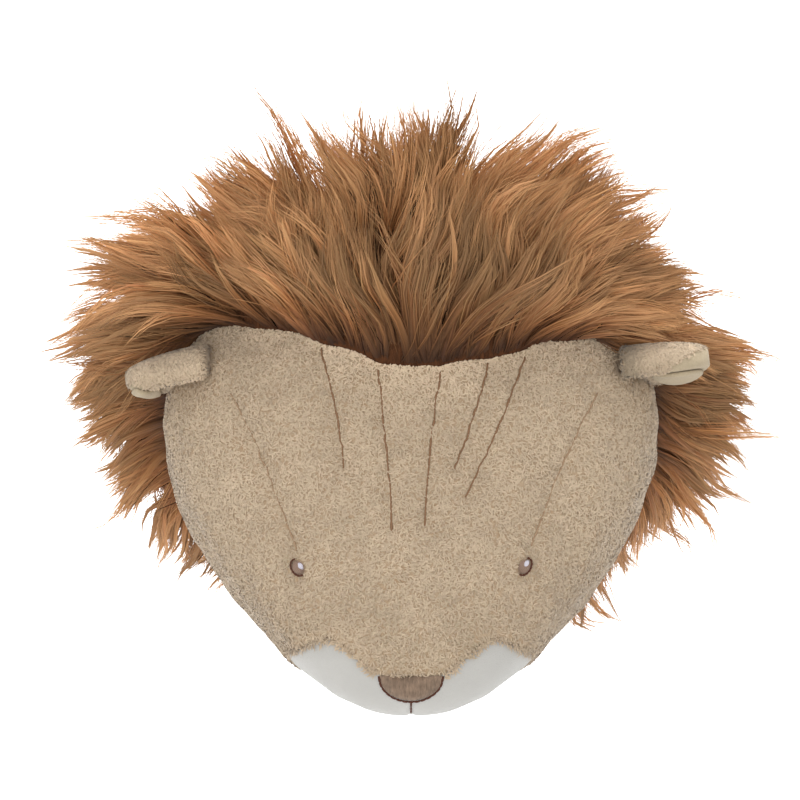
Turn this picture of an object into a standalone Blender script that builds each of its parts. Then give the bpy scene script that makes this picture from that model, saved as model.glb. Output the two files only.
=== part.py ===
"""A stuffed lion head that hangs flat against a wall, with a long-haired mane.

Units are metres. +X is to the viewer's right, +Z is up, and the face looks along -Y.
The wall is the plane Y = 0, and the origin is the middle of the backing's wall face.
"""

import math
import random

import bmesh
import bpy
from mathutils import Quaternion, Vector
from mathutils.bvhtree import BVHTree

# Overall sizes
HEAD_REACH = 0.214
CHEEK_WIDTH = 0.256
HEAD_HEIGHT = 0.204
PANEL_THICKNESS = 0.012
PANEL_EDGE = 0.002
CLEARANCE = 0.0005

# The head's form. Stations run from the backing to the tip of the muzzle. Reaches are shares of the stuffed
# depth, half widths are shares of half the cheeks' width, and levels are shares of the head's height.
REACH_SHARES = (0.0, 0.127, 0.264, 0.40, 0.536, 0.673, 0.809, 0.909, 0.973, 1.0)
HALF_WIDTH_SHARES = (0.90, 0.97, 1.0, 0.94, 0.82, 0.66, 0.50, 0.34, 0.175, 0.0)
CROWN_SHARES = (0.385, 0.405, 0.39, 0.32, 0.22, 0.12, 0.028, -0.05, -0.11, -0.19)
LEVEL_SHARES = (0.07, 0.08, 0.07, 0.01, -0.05, -0.10, -0.145, -0.17, -0.185, -0.19)
JAW_SHARES = (-0.51, -0.54, -0.55, -0.535, -0.49, -0.435, -0.37, -0.305, -0.25, -0.19)
SQUARENESS = (2.3, 2.25, 2.15, 2.1, 2.05, 2.0, 2.0, 2.05, 2.1, 2.1)
TIP_STATION = len(REACH_SHARES) - 1
LAST_RING = TIP_STATION - 0.04

# Soft swellings of the skin: angle in degrees, station, spread in degrees, spread in stations, height in metres
SWELLINGS = (
    (34, 1.9, 18, 0.9, -0.007),
    (62, 2.0, 16, 0.9, -0.003),
    (148, 1.9, 16, 0.9, -0.006),
    (90, 2.5, 20, 1.0, -0.003),
)

# Where the face meets the mane, and where the white muzzle starts: angle in degrees against station
HAIRLINE = ((-90, 0.9), (-20, 1.1), (4, 1.0), (12, 0.85), (20, 1.2), (26, 1.45), (33, 1.7), (38, 1.9), (47, 2.2),
            (61, 2.45), (75, 2.55), (90, 2.6), (104, 2.55), (120, 2.25), (130, 2.05), (135, 1.83), (140, 1.6),
            (146, 1.42), (151, 1.35), (157, 0.9), (166, 0.85), (176, 1.0), (200, 1.1), (270, 0.9))
MUZZLE_LINE = ((-90, 5.2), (-45, 5.6), (-10, 6.0), (0, 6.3), (9, 6.48), (18, 6.58), (24, 6.62), (27, 6.78),
               (30, 7.06), (36, 7.5), (42, 7.82), (54, 7.94), (90, 8.02), (126, 7.94), (138, 7.82), (144, 7.5),
               (150, 7.06), (153, 6.78), (156, 6.62), (162, 6.58), (171, 6.48), (180, 6.3), (190, 6.0), (225, 5.6),
               (270, 5.2))
MUZZLE_THICKNESS = 0.006
MUZZLE_GAP = 0.0014
COLUMNS = 72
ROWS_UNDER_MANE = 4
ROWS_OF_FACE = 11
ROWS_OF_MUZZLE = 4
ANGLES = [360 * j / COLUMNS for j in range(COLUMNS)]

# The mane: rows of pointed locks, from the hairline back to the wall
LOCK_ROWS = 4
COLUMNS_IN_LOCK = 3
LOCKS_IN_ROW = COLUMNS // COLUMNS_IN_LOCK
SKIN_THICKNESS = 0.003
LOCK_THICKNESS = 0.008
LOCK_VALLEY = 0.55
LOCK_VARIETY = 0.22
LOCK_LEAN = math.radians(5)
# How far out the tips of the first and last rows stand, as shares of their roots' reach, and their least spacing
LOCK_TIP_SHARES = (0.86, 0.60)
LOCK_TIP_SPACING = 0.003
# A lock's belly is this far along it, and takes at most this share of the room under the row in front
LOCK_BELLY = 0.45
LOCK_FILL = 0.5
WALL_STANDOFF = 0.003
MANE_SEED = 7
# Angle in degrees against the length of the hair
HAIR_LENGTH = ((-90, 0.070), (-55, 0.074), (-20, 0.066), (0, 0.062), (20, 0.054), (32, 0.060), (45, 0.088),
               (60, 0.102), (90, 0.104), (105, 0.108), (120, 0.100), (135, 0.086), (150, 0.074), (180, 0.068),
               (200, 0.066), (235, 0.074), (270, 0.070))
HAIR_DROOP = 0.45

# The face's sloping plane, on which the eyes, nose and stitched lines are set out
FACE_TILT = math.radians(40)
LOOK = Vector((0, math.cos(FACE_TILT), -math.sin(FACE_TILT)))
UP_FACE = Vector((0, math.sin(FACE_TILT), math.cos(FACE_TILT)))

# Places on the skin are angles in degrees and stations, so that each feature keeps its place when the head changes
EYE_ANGLE = 26.4
EYE_STATION = 5.4
EYE_WIDTH = 0.0072
EYE_HEIGHT = 0.0100
EYE_THICKNESS = 0.0016

NOSE_STATION = 8.35
NOSE_WIDTH = 0.0285
NOSE_HEIGHT = 0.0107
NOSE_FLAT = 0.0047
NOSE_THICKNESS = 0.0028
EDGING_THREAD = 0.0011
LIP_LENGTH = 0.017
EDGE_POINTS = 21
LIP_POINTS = 9

# Stitched lines: the angle and station where each starts and ends, and how far it bows sideways
BROW_LINES = (
    ((127.3, 2.20), (123.2, 4.20), 0.0015),
    ((105.2, 2.59), (102.5, 5.19), 0.0010),
    ((76.3, 2.63), (81.5, 5.13), -0.0010),
    ((56.2, 2.43), (67.8, 4.27), 0.0010),
    ((42.4, 2.12), (60.7, 4.67), 0.0015),
)
DART_LINES = (
    ((155.5, 2.50), (151.7, 5.24), 0.0020),
    ((23.0, 2.46), (26.8, 5.16), -0.0020),
)
LINE_POINTS = 9
LINE_TRIM = 0.025
THREAD = 0.0014
GROOVE = 0.0038
GROOVE_LIFT = 0.0005
THREAD_SINK = 0.00035
# How far a place is lifted off a surface before it is dropped onto it
DROP_HEIGHT = 0.05

# Ears
EAR_LENGTH = 0.040
EAR_ROOT = 0.0045
EAR_WIDTH = 0.035
EAR_THICKNESS = 0.015
EAR_CUP = 0.008
EAR_COLUMNS = 10
EAR_RINGS = 7
EAR_FULLNESS = 4.0
# For each ear: the angle and station of its root, how far it is stuffed out there, and in degrees how far it turns
# its back up and how far it hangs
EAR_ROOTS = {"left": (161.0, 1.8, 0.002, 46, 15), "right": (16.5, 1.7, 0.003, 40, -9)}
# The lining's middle and length are shares of the ear's free length, and its width is a share of the ear's
LINING_CENTRE_SHARE = 0.46
LINING_LENGTH_SHARE = 0.78
LINING_WIDTH_SHARE = 0.76
LINING_THICKNESS = 0.0022
LINING_GAP = 0.0009
LINING_RINGS = 3
LINING_COLUMNS = 18

COLOURS = {
    "terry": ((0.56, 0.45, 0.32), 0.95),
    "long_fur": ((0.34, 0.19, 0.09), 0.75),
    "white_plush": ((0.72, 0.71, 0.69), 0.9),
    "nose_velour": ((0.30, 0.22, 0.17), 0.85),
    "dark_thread": ((0.07, 0.04, 0.03), 0.7),
    "brow_thread": ((0.24, 0.17, 0.12), 0.8),
    "eye_thread": ((0.20, 0.14, 0.11), 0.5),
    "ear_velour": ((0.62, 0.58, 0.50), 0.9),
    "backing_felt": ((0.30, 0.22, 0.15), 0.95),
}


def clear_scene():
    for obj in list(bpy.data.objects):
        bpy.data.objects.remove(obj)


def new_collection(name):
    made = bpy.data.collections.new(name)
    bpy.context.scene.collection.children.link(made)
    return made


def material(name):
    colour, roughness = COLOURS[name]
    made = bpy.data.materials.new(name)
    made.use_nodes = True
    shader = made.node_tree.nodes["Principled BSDF"]
    shader.inputs["Base Color"].default_value = (*colour, 1)
    shader.inputs["Roughness"].default_value = roughness
    made.diffuse_color = (*colour, 1)
    return made


# Curves through named values

def spline(values, t, before, after):
    """A smooth curve through evenly spaced values, with a value to stand before the first and after the last."""
    i = min(int(t), len(values) - 2)
    s = t - i
    padded = (before, *values, after)
    a, b, c, d = padded[i:i + 4]
    return 0.5 * (2 * b + (c - a) * s + (2 * a - 5 * b + 4 * c - d) * s ** 2 + (3 * b - a - 3 * c + d) * s ** 3)


def by_angle(table, degrees):
    """The value that a table of (angle, value) gives, eased between its entries."""
    degrees = (degrees + 90) % 360 - 90
    for (a0, v0), (a1, v1) in zip(table, table[1:]):
        if degrees <= a1:
            share = (degrees - a0) / (a1 - a0)
            eased = share * share * (3 - 2 * share)
            return v0 + (v1 - v0) * (0.5 * share + 0.5 * eased)
    return table[-1][1]


# The head's skin as a function of angle and station

def section(t):
    """Reach from the wall, half width, crown, widest level, jaw and squareness at a station."""
    tip = LEVEL_SHARES[-1]
    start = PANEL_THICKNESS + CLEARANCE
    reach = start + spline(REACH_SHARES, t, -REACH_SHARES[1], REACH_SHARES[-2]) * (HEAD_REACH - start)
    half = spline(HALF_WIDTH_SHARES, t, HALF_WIDTH_SHARES[0], -HALF_WIDTH_SHARES[-2]) * CHEEK_WIDTH / 2
    crown, level, jaw = (spline(v, t, v[0], 2 * tip - v[-2]) * HEAD_HEIGHT for v in (CROWN_SHARES, LEVEL_SHARES, JAW_SHARES))
    return reach, half, crown, level, jaw, spline(SQUARENESS, t, SQUARENESS[0], SQUARENESS[-1])


def swelling(degrees, t):
    raised = 0.0
    for angle, station, wide, long, height in SWELLINGS:
        across = ((degrees - angle + 180) % 360 - 180) / wide
        raised += height * math.exp(-across ** 2 - ((t - station) / long) ** 2)
    return raised


def skin(degrees, t):
    reach, half, crown, level, jaw, square = section(t)
    c, s = math.cos(math.radians(degrees)), math.sin(math.radians(degrees))
    tall = crown - level if s >= 0 else level - jaw
    radius = (abs(c / half) ** square + abs(s / tall) ** square) ** (-1 / square)
    radius += swelling(degrees, t)
    return Vector((radius * c, -reach, level + radius * s))


def skin_normal(degrees, t, step=0.02):
    around = skin(degrees + 50 * step, t) - skin(degrees - 50 * step, t)
    along = skin(degrees, min(t + step, LAST_RING)) - skin(degrees, max(t - step, 0))
    return around.cross(along).normalized()


def off_skin(degrees, t, out):
    return skin(degrees, t) + skin_normal(degrees, t) * out


def ring(t_of, out=0.0):
    """A closed row of points round the head. t_of gives the station at each angle."""
    return [off_skin(a, t_of(a), out) for a in ANGLES]


# Solids from rows of points

def mesh_object(name, collection, bm, slot, origin, smooth=True):
    bmesh.ops.translate(bm, verts=bm.verts, vec=-origin)
    bmesh.ops.recalc_face_normals(bm, faces=bm.faces)
    mesh = bpy.data.meshes.new(name)
    bm.to_mesh(mesh)
    bm.free()
    if smooth:
        mesh.shade_smooth()
        mesh.set_sharp_from_angle(angle=math.radians(50))
    mesh.materials.append(bpy.data.materials[slot])
    made = bpy.data.objects.new(name, mesh)
    made.location = origin
    collection.objects.link(made)
    return made


def loft(name, collection, rings, slot, closed=False, origin=Vector()):
    """A solid through rings of equal count. Its ends are capped, or its last ring joins its first."""
    bm = bmesh.new()
    rows = [[bm.verts.new(p) for p in row] for row in rings]
    pairs = list(zip(rows, rows[1:]))
    if closed:
        pairs.append((rows[-1], rows[0]))
    for low, high in pairs:
        for j in range(len(low)):
            k = (j + 1) % len(low)
            bm.faces.new((low[j], low[k], high[k], high[j]))
    if not closed:
        bm.faces.new(rows[0])
        bm.faces.new(rows[-1])
    return mesh_object(name, collection, bm, slot, origin)


def tube(name, collection, points, diameter, slot, sides=1):
    """A thread or a cutter along points, as a curve with filled caps."""
    curve = bpy.data.curves.new(name, "CURVE")
    curve.dimensions = "3D"
    curve.bevel_depth = diameter / 2
    curve.bevel_resolution = sides
    curve.use_fill_caps = True
    line = curve.splines.new("POLY")
    line.points.add(len(points) - 1)
    for point, place in zip(line.points, points):
        point.co = (*place, 1)
    curve.materials.append(bpy.data.materials[slot])
    made = bpy.data.objects.new(name, curve)
    collection.objects.link(made)
    return made


def as_mesh(curve_object):
    """The curve's own mesh with its caps welded, in place of the curve."""
    bpy.context.view_layer.update()
    graph = bpy.context.evaluated_depsgraph_get()
    mesh = bpy.data.meshes.new_from_object(curve_object.evaluated_get(graph))
    bm = bmesh.new()
    bm.from_mesh(mesh)
    bmesh.ops.remove_doubles(bm, verts=bm.verts, dist=1e-6)
    bmesh.ops.recalc_face_normals(bm, faces=bm.faces)
    bm.to_mesh(mesh)
    bm.free()
    name, collection = curve_object.name, curve_object.users_collection[0]
    made = bpy.data.objects.new(name + "_mesh", mesh)
    made.matrix_world = curve_object.matrix_world
    bpy.data.objects.remove(curve_object)
    made.name = name
    collection.objects.link(made)
    return made


def cut(obj, cutter):
    cutter.hide_render = True
    cutter.display_type = "WIRE"
    modifier = obj.modifiers.new(cutter.name, "BOOLEAN")
    modifier.operation = "DIFFERENCE"
    modifier.object = cutter


# Finding places on a solid

def surface_of(obj):
    mesh = obj.data
    return BVHTree.FromPolygons([v.co.copy() for v in mesh.vertices], [tuple(p.vertices) for p in mesh.polygons])


def drop(surface, place, direction, distance=1.0):
    """Where a line through place along direction first meets the surface from outside, and the normal there."""
    hit, normal, _, _ = surface.ray_cast(place - direction * distance, direction)
    if hit is None:
        hit, normal, _, _ = surface.find_nearest(place)
    if normal.dot(direction) > 0:
        normal = -normal
    return hit, normal


def across_and_up(degrees, t):
    """How far across and up the face's sloping plane a place on the skin is."""
    place = skin(degrees, t)
    return place.x, place.dot(UP_FACE)


def on_face(surface, across, up):
    """The place on the face at a distance across and up its sloping plane."""
    return drop(surface, Vector((across, 0, 0)) + UP_FACE * up, LOOK)


def pad(name, collection, surface, centre, normal, up, outline, thickness, slot, rings, columns):
    """A low cushion that lies on a surface. outline gives its radius at an angle, in its own plane."""
    across = up.cross(normal).normalized()
    up = normal.cross(across).normalized()
    under, over = [], []
    for k in range(rings, 0, -1):
        share = k / rings
        low, high = [], []
        for j in range(columns):
            a = 2 * math.pi * j / columns
            flat = (across * math.cos(a) + up * math.sin(a)) * outline(a) * share
            foot, _ = drop(surface, centre + flat, -normal, DROP_HEIGHT)
            swell = 0.35 + 0.65 * math.sqrt(max(0, 1 - share ** 2))
            low.append(foot + normal * CLEARANCE)
            high.append(foot + normal * (CLEARANCE + thickness * swell))
        under.append(low)
        over.append(high)
    return loft(name, collection, under[::-1] + over, slot, origin=centre)


def path_on_face(surface, start, end, bow, lift, trim=0.0):
    """A gently bowed line up the face, lifted off the surface or sunk into it, with a share of each end left off."""
    start, end = across_and_up(*start), across_and_up(*end)
    places = []
    for i in range(LINE_POINTS):
        s = trim + (1 - 2 * trim) * i / (LINE_POINTS - 1)
        across = start[0] + (end[0] - start[0]) * s + bow * math.sin(math.pi * s)
        hit, normal = on_face(surface, across, start[1] + (end[1] - start[1]) * s)
        places.append(hit + normal * lift)
    return places


# The pieces

def build_backing(collection):
    """The flat felt-covered board that meets the wall."""
    reach, *_ = section(0)
    curve = bpy.data.curves.new("back_panel", "CURVE")
    curve.dimensions = "2D"
    curve.fill_mode = "BOTH"
    curve.bevel_depth = PANEL_EDGE
    curve.bevel_resolution = 0
    curve.offset = -PANEL_EDGE
    curve.extrude = PANEL_THICKNESS / 2 - PANEL_EDGE
    line = curve.splines.new("POLY")
    line.use_cyclic_u = True
    line.points.add(COLUMNS - 1)
    for point, place in zip(line.points, ring(backing_line)):
        point.co = (place.x, place.z, 0, 1)
    curve.materials.append(bpy.data.materials["backing_felt"])
    made = bpy.data.objects.new("back_panel", curve)
    made.rotation_euler = (math.radians(90), 0, 0)
    made.location = (0, -PANEL_THICKNESS / 2, 0)
    collection.objects.link(made)
    return made


def between(first, last, share):
    """The station at each angle, part of the way from one line round the head to another."""
    return lambda a: first(a) + (last(a) - first(a)) * share


def backing_line(_):
    return 0.0


def hairline(a):
    return by_angle(HAIRLINE, a)


def muzzle_line(a):
    return by_angle(MUZZLE_LINE, a)


def muzzle_row(k, inset):
    """One of the rows from the muzzle's edge to the tip of the face, closer together near the edge."""
    share = (k / ROWS_OF_MUZZLE) ** 0.8
    return between(lambda a: muzzle_line(a) + inset, lambda a: LAST_RING, share)


def head_rings(out=0.0):
    """Rows of points from the backing to the edge of the white muzzle."""
    rows = [between(backing_line, hairline, k / ROWS_UNDER_MANE) for k in range(ROWS_UNDER_MANE)]
    rows += [between(hairline, muzzle_line, k / ROWS_OF_FACE) for k in range(ROWS_OF_FACE + 1)]
    return [ring(row, out) for row in rows]


def build_head(collection):
    """The stuffed face, with a recess at the front that the white muzzle fills."""
    rings = head_rings()
    for k in range(ROWS_OF_MUZZLE):
        rings.append(ring(muzzle_row(k, 0.0), -(MUZZLE_THICKNESS + MUZZLE_GAP)))
    return loft("head", collection, rings, "terry")


def build_muzzle(collection):
    """The white plush panel over the lips and chin."""
    outer = [ring(muzzle_row(k, 0.03)) for k in range(ROWS_OF_MUZZLE + 1)]
    inner = [ring(muzzle_row(k, 0.03), -MUZZLE_THICKNESS) for k in range(ROWS_OF_MUZZLE)]
    return loft("muzzle", collection, inner[::-1] + outer, "white_plush")


def locks_of_row(row, rng):
    """For each column of a row: how near it is to a lock's point, that lock's share of length, and its lean."""
    lengths = [1 - LOCK_VARIETY * rng.random() for _ in range(LOCKS_IN_ROW)]
    leans = [LOCK_LEAN * (2 * rng.random() - 1) for _ in range(LOCKS_IN_ROW)]
    columns = []
    for j in range(COLUMNS):
        place = (j + row) / COLUMNS_IN_LOCK
        nearest = round(place)
        point = 1 - 2 * abs(place - nearest)
        lock = nearest % LOCKS_IN_ROW
        columns.append((point, 1 + (lengths[lock] - 1) * point, leans[lock] * point))
    return columns


def mane_root(a, share, out=SKIN_THICKNESS):
    """A place on the band that carries the hair, a share of the way from the backing to the hairline."""
    return off_skin(a, hairline(a) * share, out)


def lock_depth(a, row, share):
    """How far out from the wall a row of locks lies, at a share of the hair's full length."""
    at_root = -mane_root(a, 1 - row / LOCK_ROWS).y
    reach = LOCK_TIP_SHARES[0] + (LOCK_TIP_SHARES[1] - LOCK_TIP_SHARES[0]) * row / (LOCK_ROWS - 1)
    at_tip = max(at_root * reach, WALL_STANDOFF + LOCK_TIP_SPACING * (LOCK_ROWS - row))
    return at_root + (at_tip - at_root) * share


def build_mane(collection):
    """The long-haired ring: a skin round the back of the head, and rows of locks that fan out from it."""
    rng = random.Random(MANE_SEED)

    def wall_rim(a, out):
        edge = off_skin(a, 0.0, out)
        return Vector((edge.x, -WALL_STANDOFF, edge.z))

    rings = [[wall_rim(a, CLEARANCE) for a in ANGLES]]
    for k in range(ROWS_UNDER_MANE + 1):
        rings.append([mane_root(a, k / ROWS_UNDER_MANE, CLEARANCE) for a in ANGLES])
    for row in range(LOCK_ROWS):
        starts, bellies, tips = [], [], []
        for a, (point, share_of_length, lean) in zip(ANGLES, locks_of_row(row, rng)):
            start = mane_root(a, 1 - row / LOCK_ROWS)
            outward = Vector((start.x, 0, start.z)).normalized()
            side = 0.5 - 0.5 * outward.z
            outward = (outward + Vector((0, 0, -HAIR_DROOP * side))).normalized()
            outward.rotate(Quaternion((0, 1, 0), lean))
            full = by_angle(HAIR_LENGTH, a)
            share = (LOCK_VALLEY + (1 - LOCK_VALLEY) * point) * share_of_length
            swell = LOCK_THICKNESS * (0.15 + 0.85 * point)
            if row > 0:
                room = lock_depth(a, row - 1, share) - lock_depth(a, row, share)
                swell = min(swell, LOCK_FILL * LOCK_BELLY * room)
            belly = start + outward * full * share * LOCK_BELLY
            belly.y = -lock_depth(a, row, share * LOCK_BELLY) - swell
            tip = start + outward * full * share
            tip.y = -lock_depth(a, row, share)
            starts.append(start)
            bellies.append(belly)
            tips.append(tip)
        rings += [starts, bellies, tips]
    rings.append([mane_root(a, 0.0) for a in ANGLES])
    rings.append([wall_rim(a, SKIN_THICKNESS) for a in ANGLES])
    return loft("mane", collection, rings, "long_fur", closed=True)


def build_eyes(collection, face):
    for name, angle in (("eye_left", 180 - EYE_ANGLE), ("eye_right", EYE_ANGLE)):
        centre, normal = on_face(face, *across_and_up(angle, EYE_STATION))

        def outline(a):
            return math.hypot(EYE_WIDTH / 2 * math.cos(a), EYE_HEIGHT / 2 * math.sin(a))

        pad(name, collection, face, centre, normal, UP_FACE, outline, EYE_THICKNESS, "eye_thread", 3, 16)


def nose_outline(a):
    """A half ellipse with its flat side up, as a radius about a point a little below that side."""
    s, c = math.sin(a), math.cos(a)
    # The ellipse's centre is on the flat side, so its radius from a point below is the root of a quadratic
    square = (c * 2 / NOSE_WIDTH) ** 2 + (s / NOSE_HEIGHT) ** 2
    middle = s * NOSE_FLAT / NOSE_HEIGHT ** 2
    rest = (NOSE_FLAT / NOSE_HEIGHT) ** 2 - 1
    ellipse = (middle + math.sqrt(middle ** 2 - square * rest)) / square
    return min(ellipse, NOSE_FLAT / s) if s > 0 else ellipse


def build_nose(collection, muzzle):
    """The nose pad, the dark thread round its lower edge, and the stitched line below it."""
    centre, normal = on_face(muzzle, *across_and_up(90, NOSE_STATION))
    pad("nose", collection, muzzle, centre, normal, UP_FACE, nose_outline, NOSE_THICKNESS, "nose_velour", 3, 40)
    across = UP_FACE.cross(normal).normalized()
    up = normal.cross(across).normalized()
    corner = math.atan2(NOSE_FLAT, NOSE_WIDTH / 2)
    edge = []
    for i in range(EDGE_POINTS):
        a = math.pi - corner * 0.8 + (math.pi + 1.6 * corner) * i / (EDGE_POINTS - 1)
        reach = nose_outline(a) + EDGING_THREAD / 2 + CLEARANCE
        place = centre + (across * math.cos(a) + up * math.sin(a)) * reach
        foot, foot_normal = drop(muzzle, place, -normal, DROP_HEIGHT)
        edge.append(foot + foot_normal * (EDGING_THREAD / 2 + CLEARANCE))
    tube("nose_edging", collection, edge, EDGING_THREAD, "dark_thread")
    lip = []
    below = nose_outline(-math.pi / 2) + 1.5 * EDGING_THREAD + 2 * CLEARANCE
    for i in range(LIP_POINTS):
        share = i / (LIP_POINTS - 1)
        place = centre - up * (below + LIP_LENGTH * share)
        foot, foot_normal = drop(muzzle, place, (UP_FACE * share - normal).normalized(), DROP_HEIGHT)
        lip.append(foot + foot_normal * (EDGING_THREAD / 2 + CLEARANCE))
    tube("lip_stitch", collection, lip, EDGING_THREAD, "dark_thread")


def build_lines(collection, cutters, head, face):
    """The stitched lines of the forehead and the two darts, each a thread in a groove."""
    named = [(f"brow_stitch_{i + 1}", line) for i, line in enumerate(BROW_LINES)]
    named += [(f"dart_stitch_{side}", line) for side, line in zip(("left", "right"), DART_LINES)]
    for name, (start, end, bow) in named:
        tube(name, collection, path_on_face(face, start, end, bow, -THREAD_SINK, LINE_TRIM), THREAD, "brow_thread", 0)
        groove = tube(name + "_groove", cutters, path_on_face(face, start, end, bow, GROOVE_LIFT), GROOVE,
                      "terry", 1)
        cut(head, as_mesh(groove))


def build_ear(collection, side, face, head_space):
    """A cupped flap sewn to the side of the head, with a paler lining on the face that looks down and forward."""
    sign = -1 if side == "left" else 1
    angle, station, stuffed_out, turn, droop = EAR_ROOTS[side]
    middle = off_skin(angle, station, stuffed_out)
    outward = Vector((sign * math.cos(math.radians(droop)), 0, -math.sin(math.radians(droop))))
    inner = Vector((0, -math.cos(math.radians(turn)), -math.sin(math.radians(turn))))
    inner = (inner - outward * inner.dot(outward)).normalized()
    width_way = outward.cross(inner).normalized() * sign

    def place(out, wide, half_thickness):
        """A point of the cupped flap, from its distance out, its distance off the middle line and its height."""
        cup = EAR_CUP * ((2 * wide / EAR_WIDTH) ** 2 + 0.4 * (max(0.0, out) / EAR_LENGTH) ** 2)
        return middle + outward * out + width_way * wide + inner * (half_thickness + cup)

    def narrowing(out):
        return math.sqrt(1 - (max(0.0, out) / EAR_LENGTH) ** EAR_FULLNESS)

    def height(out, wide):
        """Half the flap's thickness at a place, which falls away to nothing at its rim."""
        share = min(1.0, abs(2 * wide / (EAR_WIDTH * narrowing(out))))
        return EAR_THICKNESS / 2 * narrowing(out) ** 0.4 * (1 - share ** 2.6) ** 0.4

    rings = []
    distances = [EAR_LENGTH * math.sin(math.pi / 2 * k / EAR_RINGS) * 0.985 for k in range(1, EAR_RINGS + 1)]
    for out in (-EAR_ROOT, 0.0, *distances):
        half = EAR_WIDTH / 2 * narrowing(out)
        sweep = [half * math.cos(math.pi * j / EAR_COLUMNS) for j in range(EAR_COLUMNS + 1)]
        upper = [place(out, wide, -height(out, wide)) for wide in sweep]
        lower = [place(out, wide, height(out, wide)) for wide in sweep[-2:0:-1]]
        rings.append(upper + lower)
    ear = loft(f"ear_{side}", collection, rings, "terry", origin=middle)
    cut(ear, head_space)
    start = max((drop(face, rim, -outward, DROP_HEIGHT)[0] - middle).dot(outward) for rim in rings[1])
    free = EAR_LENGTH - start
    under, over = [], []
    for k in range(LINING_RINGS, 0, -1):
        share = k / LINING_RINGS
        low, high = [], []
        for j in range(LINING_COLUMNS):
            a = 2 * math.pi * j / LINING_COLUMNS
            out = start + free * (LINING_CENTRE_SHARE + LINING_LENGTH_SHARE / 2 * math.cos(a) * share)
            wide = EAR_WIDTH * LINING_WIDTH_SHARE / 2 * math.sin(a) * share
            foot = height(out, wide) + LINING_GAP
            low.append(place(out, wide, foot))
            high.append(place(out, wide, foot + LINING_THICKNESS * (0.35 + 0.65 * math.sqrt(1 - share ** 2))))
        under.append(low)
        over.append(high)
    loft(f"ear_lining_{side}", collection, under[::-1] + over, "ear_velour", origin=middle)


def hang_together(collection):
    """Parents every piece to one empty at the middle of the wall face, so that the head moves as one."""
    pieces = list(collection.objects)
    hanger = bpy.data.objects.new("wall_middle", None)
    hanger.empty_display_size = CHEEK_WIDTH / 4
    collection.objects.link(hanger)
    for piece in pieces:
        piece.parent = hanger


def main():
    clear_scene()
    for name in COLOURS:
        material(name)
    parts = new_collection("lion_head")
    cutters = new_collection("cutters")
    build_backing(parts)
    head = build_head(parts)
    muzzle = build_muzzle(parts)
    face = surface_of(head)
    build_mane(parts)
    build_eyes(parts, face)
    build_nose(parts, surface_of(muzzle))
    build_lines(parts, cutters, head, face)
    room = head_rings(CLEARANCE) + [ring(muzzle_row(k, 0.0), CLEARANCE) for k in range(1, ROWS_OF_MUZZLE + 1)]
    head_space = loft("head_space", cutters, room, "terry")
    for side in EAR_ROOTS:
        build_ear(parts, side, face, head_space)
    hang_together(parts)


main()
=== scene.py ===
"""Dresses a stuffed lion head for the wall: terry face and ears, long mane, velour muzzle and stitching.

Units are metres. +X is to the viewer's right, +Z is up, and the face looks along -Y, away from the wall.
"""

import math

import bmesh
import bpy
import numpy as np
from bpy.props import FloatProperty, FloatVectorProperty, IntProperty, PointerProperty
from mathutils import Matrix, Vector
from mathutils.bvhtree import BVHTree
from mathutils.kdtree import KDTree


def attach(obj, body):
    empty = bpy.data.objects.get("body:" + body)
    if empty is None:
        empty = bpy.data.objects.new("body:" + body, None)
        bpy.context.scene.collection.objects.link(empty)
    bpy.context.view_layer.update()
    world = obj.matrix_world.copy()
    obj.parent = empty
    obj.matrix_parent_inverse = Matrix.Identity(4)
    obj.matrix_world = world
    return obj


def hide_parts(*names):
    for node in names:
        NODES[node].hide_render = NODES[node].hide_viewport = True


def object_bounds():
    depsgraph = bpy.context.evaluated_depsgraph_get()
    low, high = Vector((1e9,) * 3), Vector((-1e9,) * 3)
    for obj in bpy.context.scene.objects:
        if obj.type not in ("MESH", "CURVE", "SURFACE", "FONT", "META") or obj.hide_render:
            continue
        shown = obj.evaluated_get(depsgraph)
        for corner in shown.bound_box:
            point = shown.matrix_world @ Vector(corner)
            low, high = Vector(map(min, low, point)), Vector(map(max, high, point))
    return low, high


bl_info = {
    "name": "Plush lion head",
    "version": (1, 0, 0),
    "blender": (4, 5, 0),
    "location": "3D View > Sidebar > Lion head",
    "description": "Makes the fabrics, fur and stitching of a stuffed lion head for the wall",
    "category": "Add Mesh",
}

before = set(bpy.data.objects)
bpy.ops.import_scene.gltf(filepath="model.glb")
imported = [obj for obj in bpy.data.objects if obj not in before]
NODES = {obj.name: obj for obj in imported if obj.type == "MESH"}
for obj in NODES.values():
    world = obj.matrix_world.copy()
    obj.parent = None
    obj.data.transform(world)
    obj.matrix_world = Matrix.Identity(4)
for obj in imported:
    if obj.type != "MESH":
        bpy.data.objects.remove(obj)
CAD_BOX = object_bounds()

# The middle of the ring that the mane's hair fans out from, as a height above the origin
MANE_MIDDLE = 0.012
BACK_OF_HAIR = 0.004
# About how deep the band of hair is, and how far it is to go once round it
DEPTH_OF_HAIR = 0.05
ROUND_THE_MANE = 2 * math.pi * 0.12
# How far out from the wall the muzzle and the fabric round it begin
MUZZLE_FROM = 0.12
COLUMNS_OF_TONE = 64
FIBRE_MAP = "OFBake"
BLACK, WHITE = (0, 0, 0, 1), (1, 1, 1, 1)
# The part of a noise texture's range that its values keep to
NOISE_ENDS = (("From Min", 0.32), ("From Max", 0.68))
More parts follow.
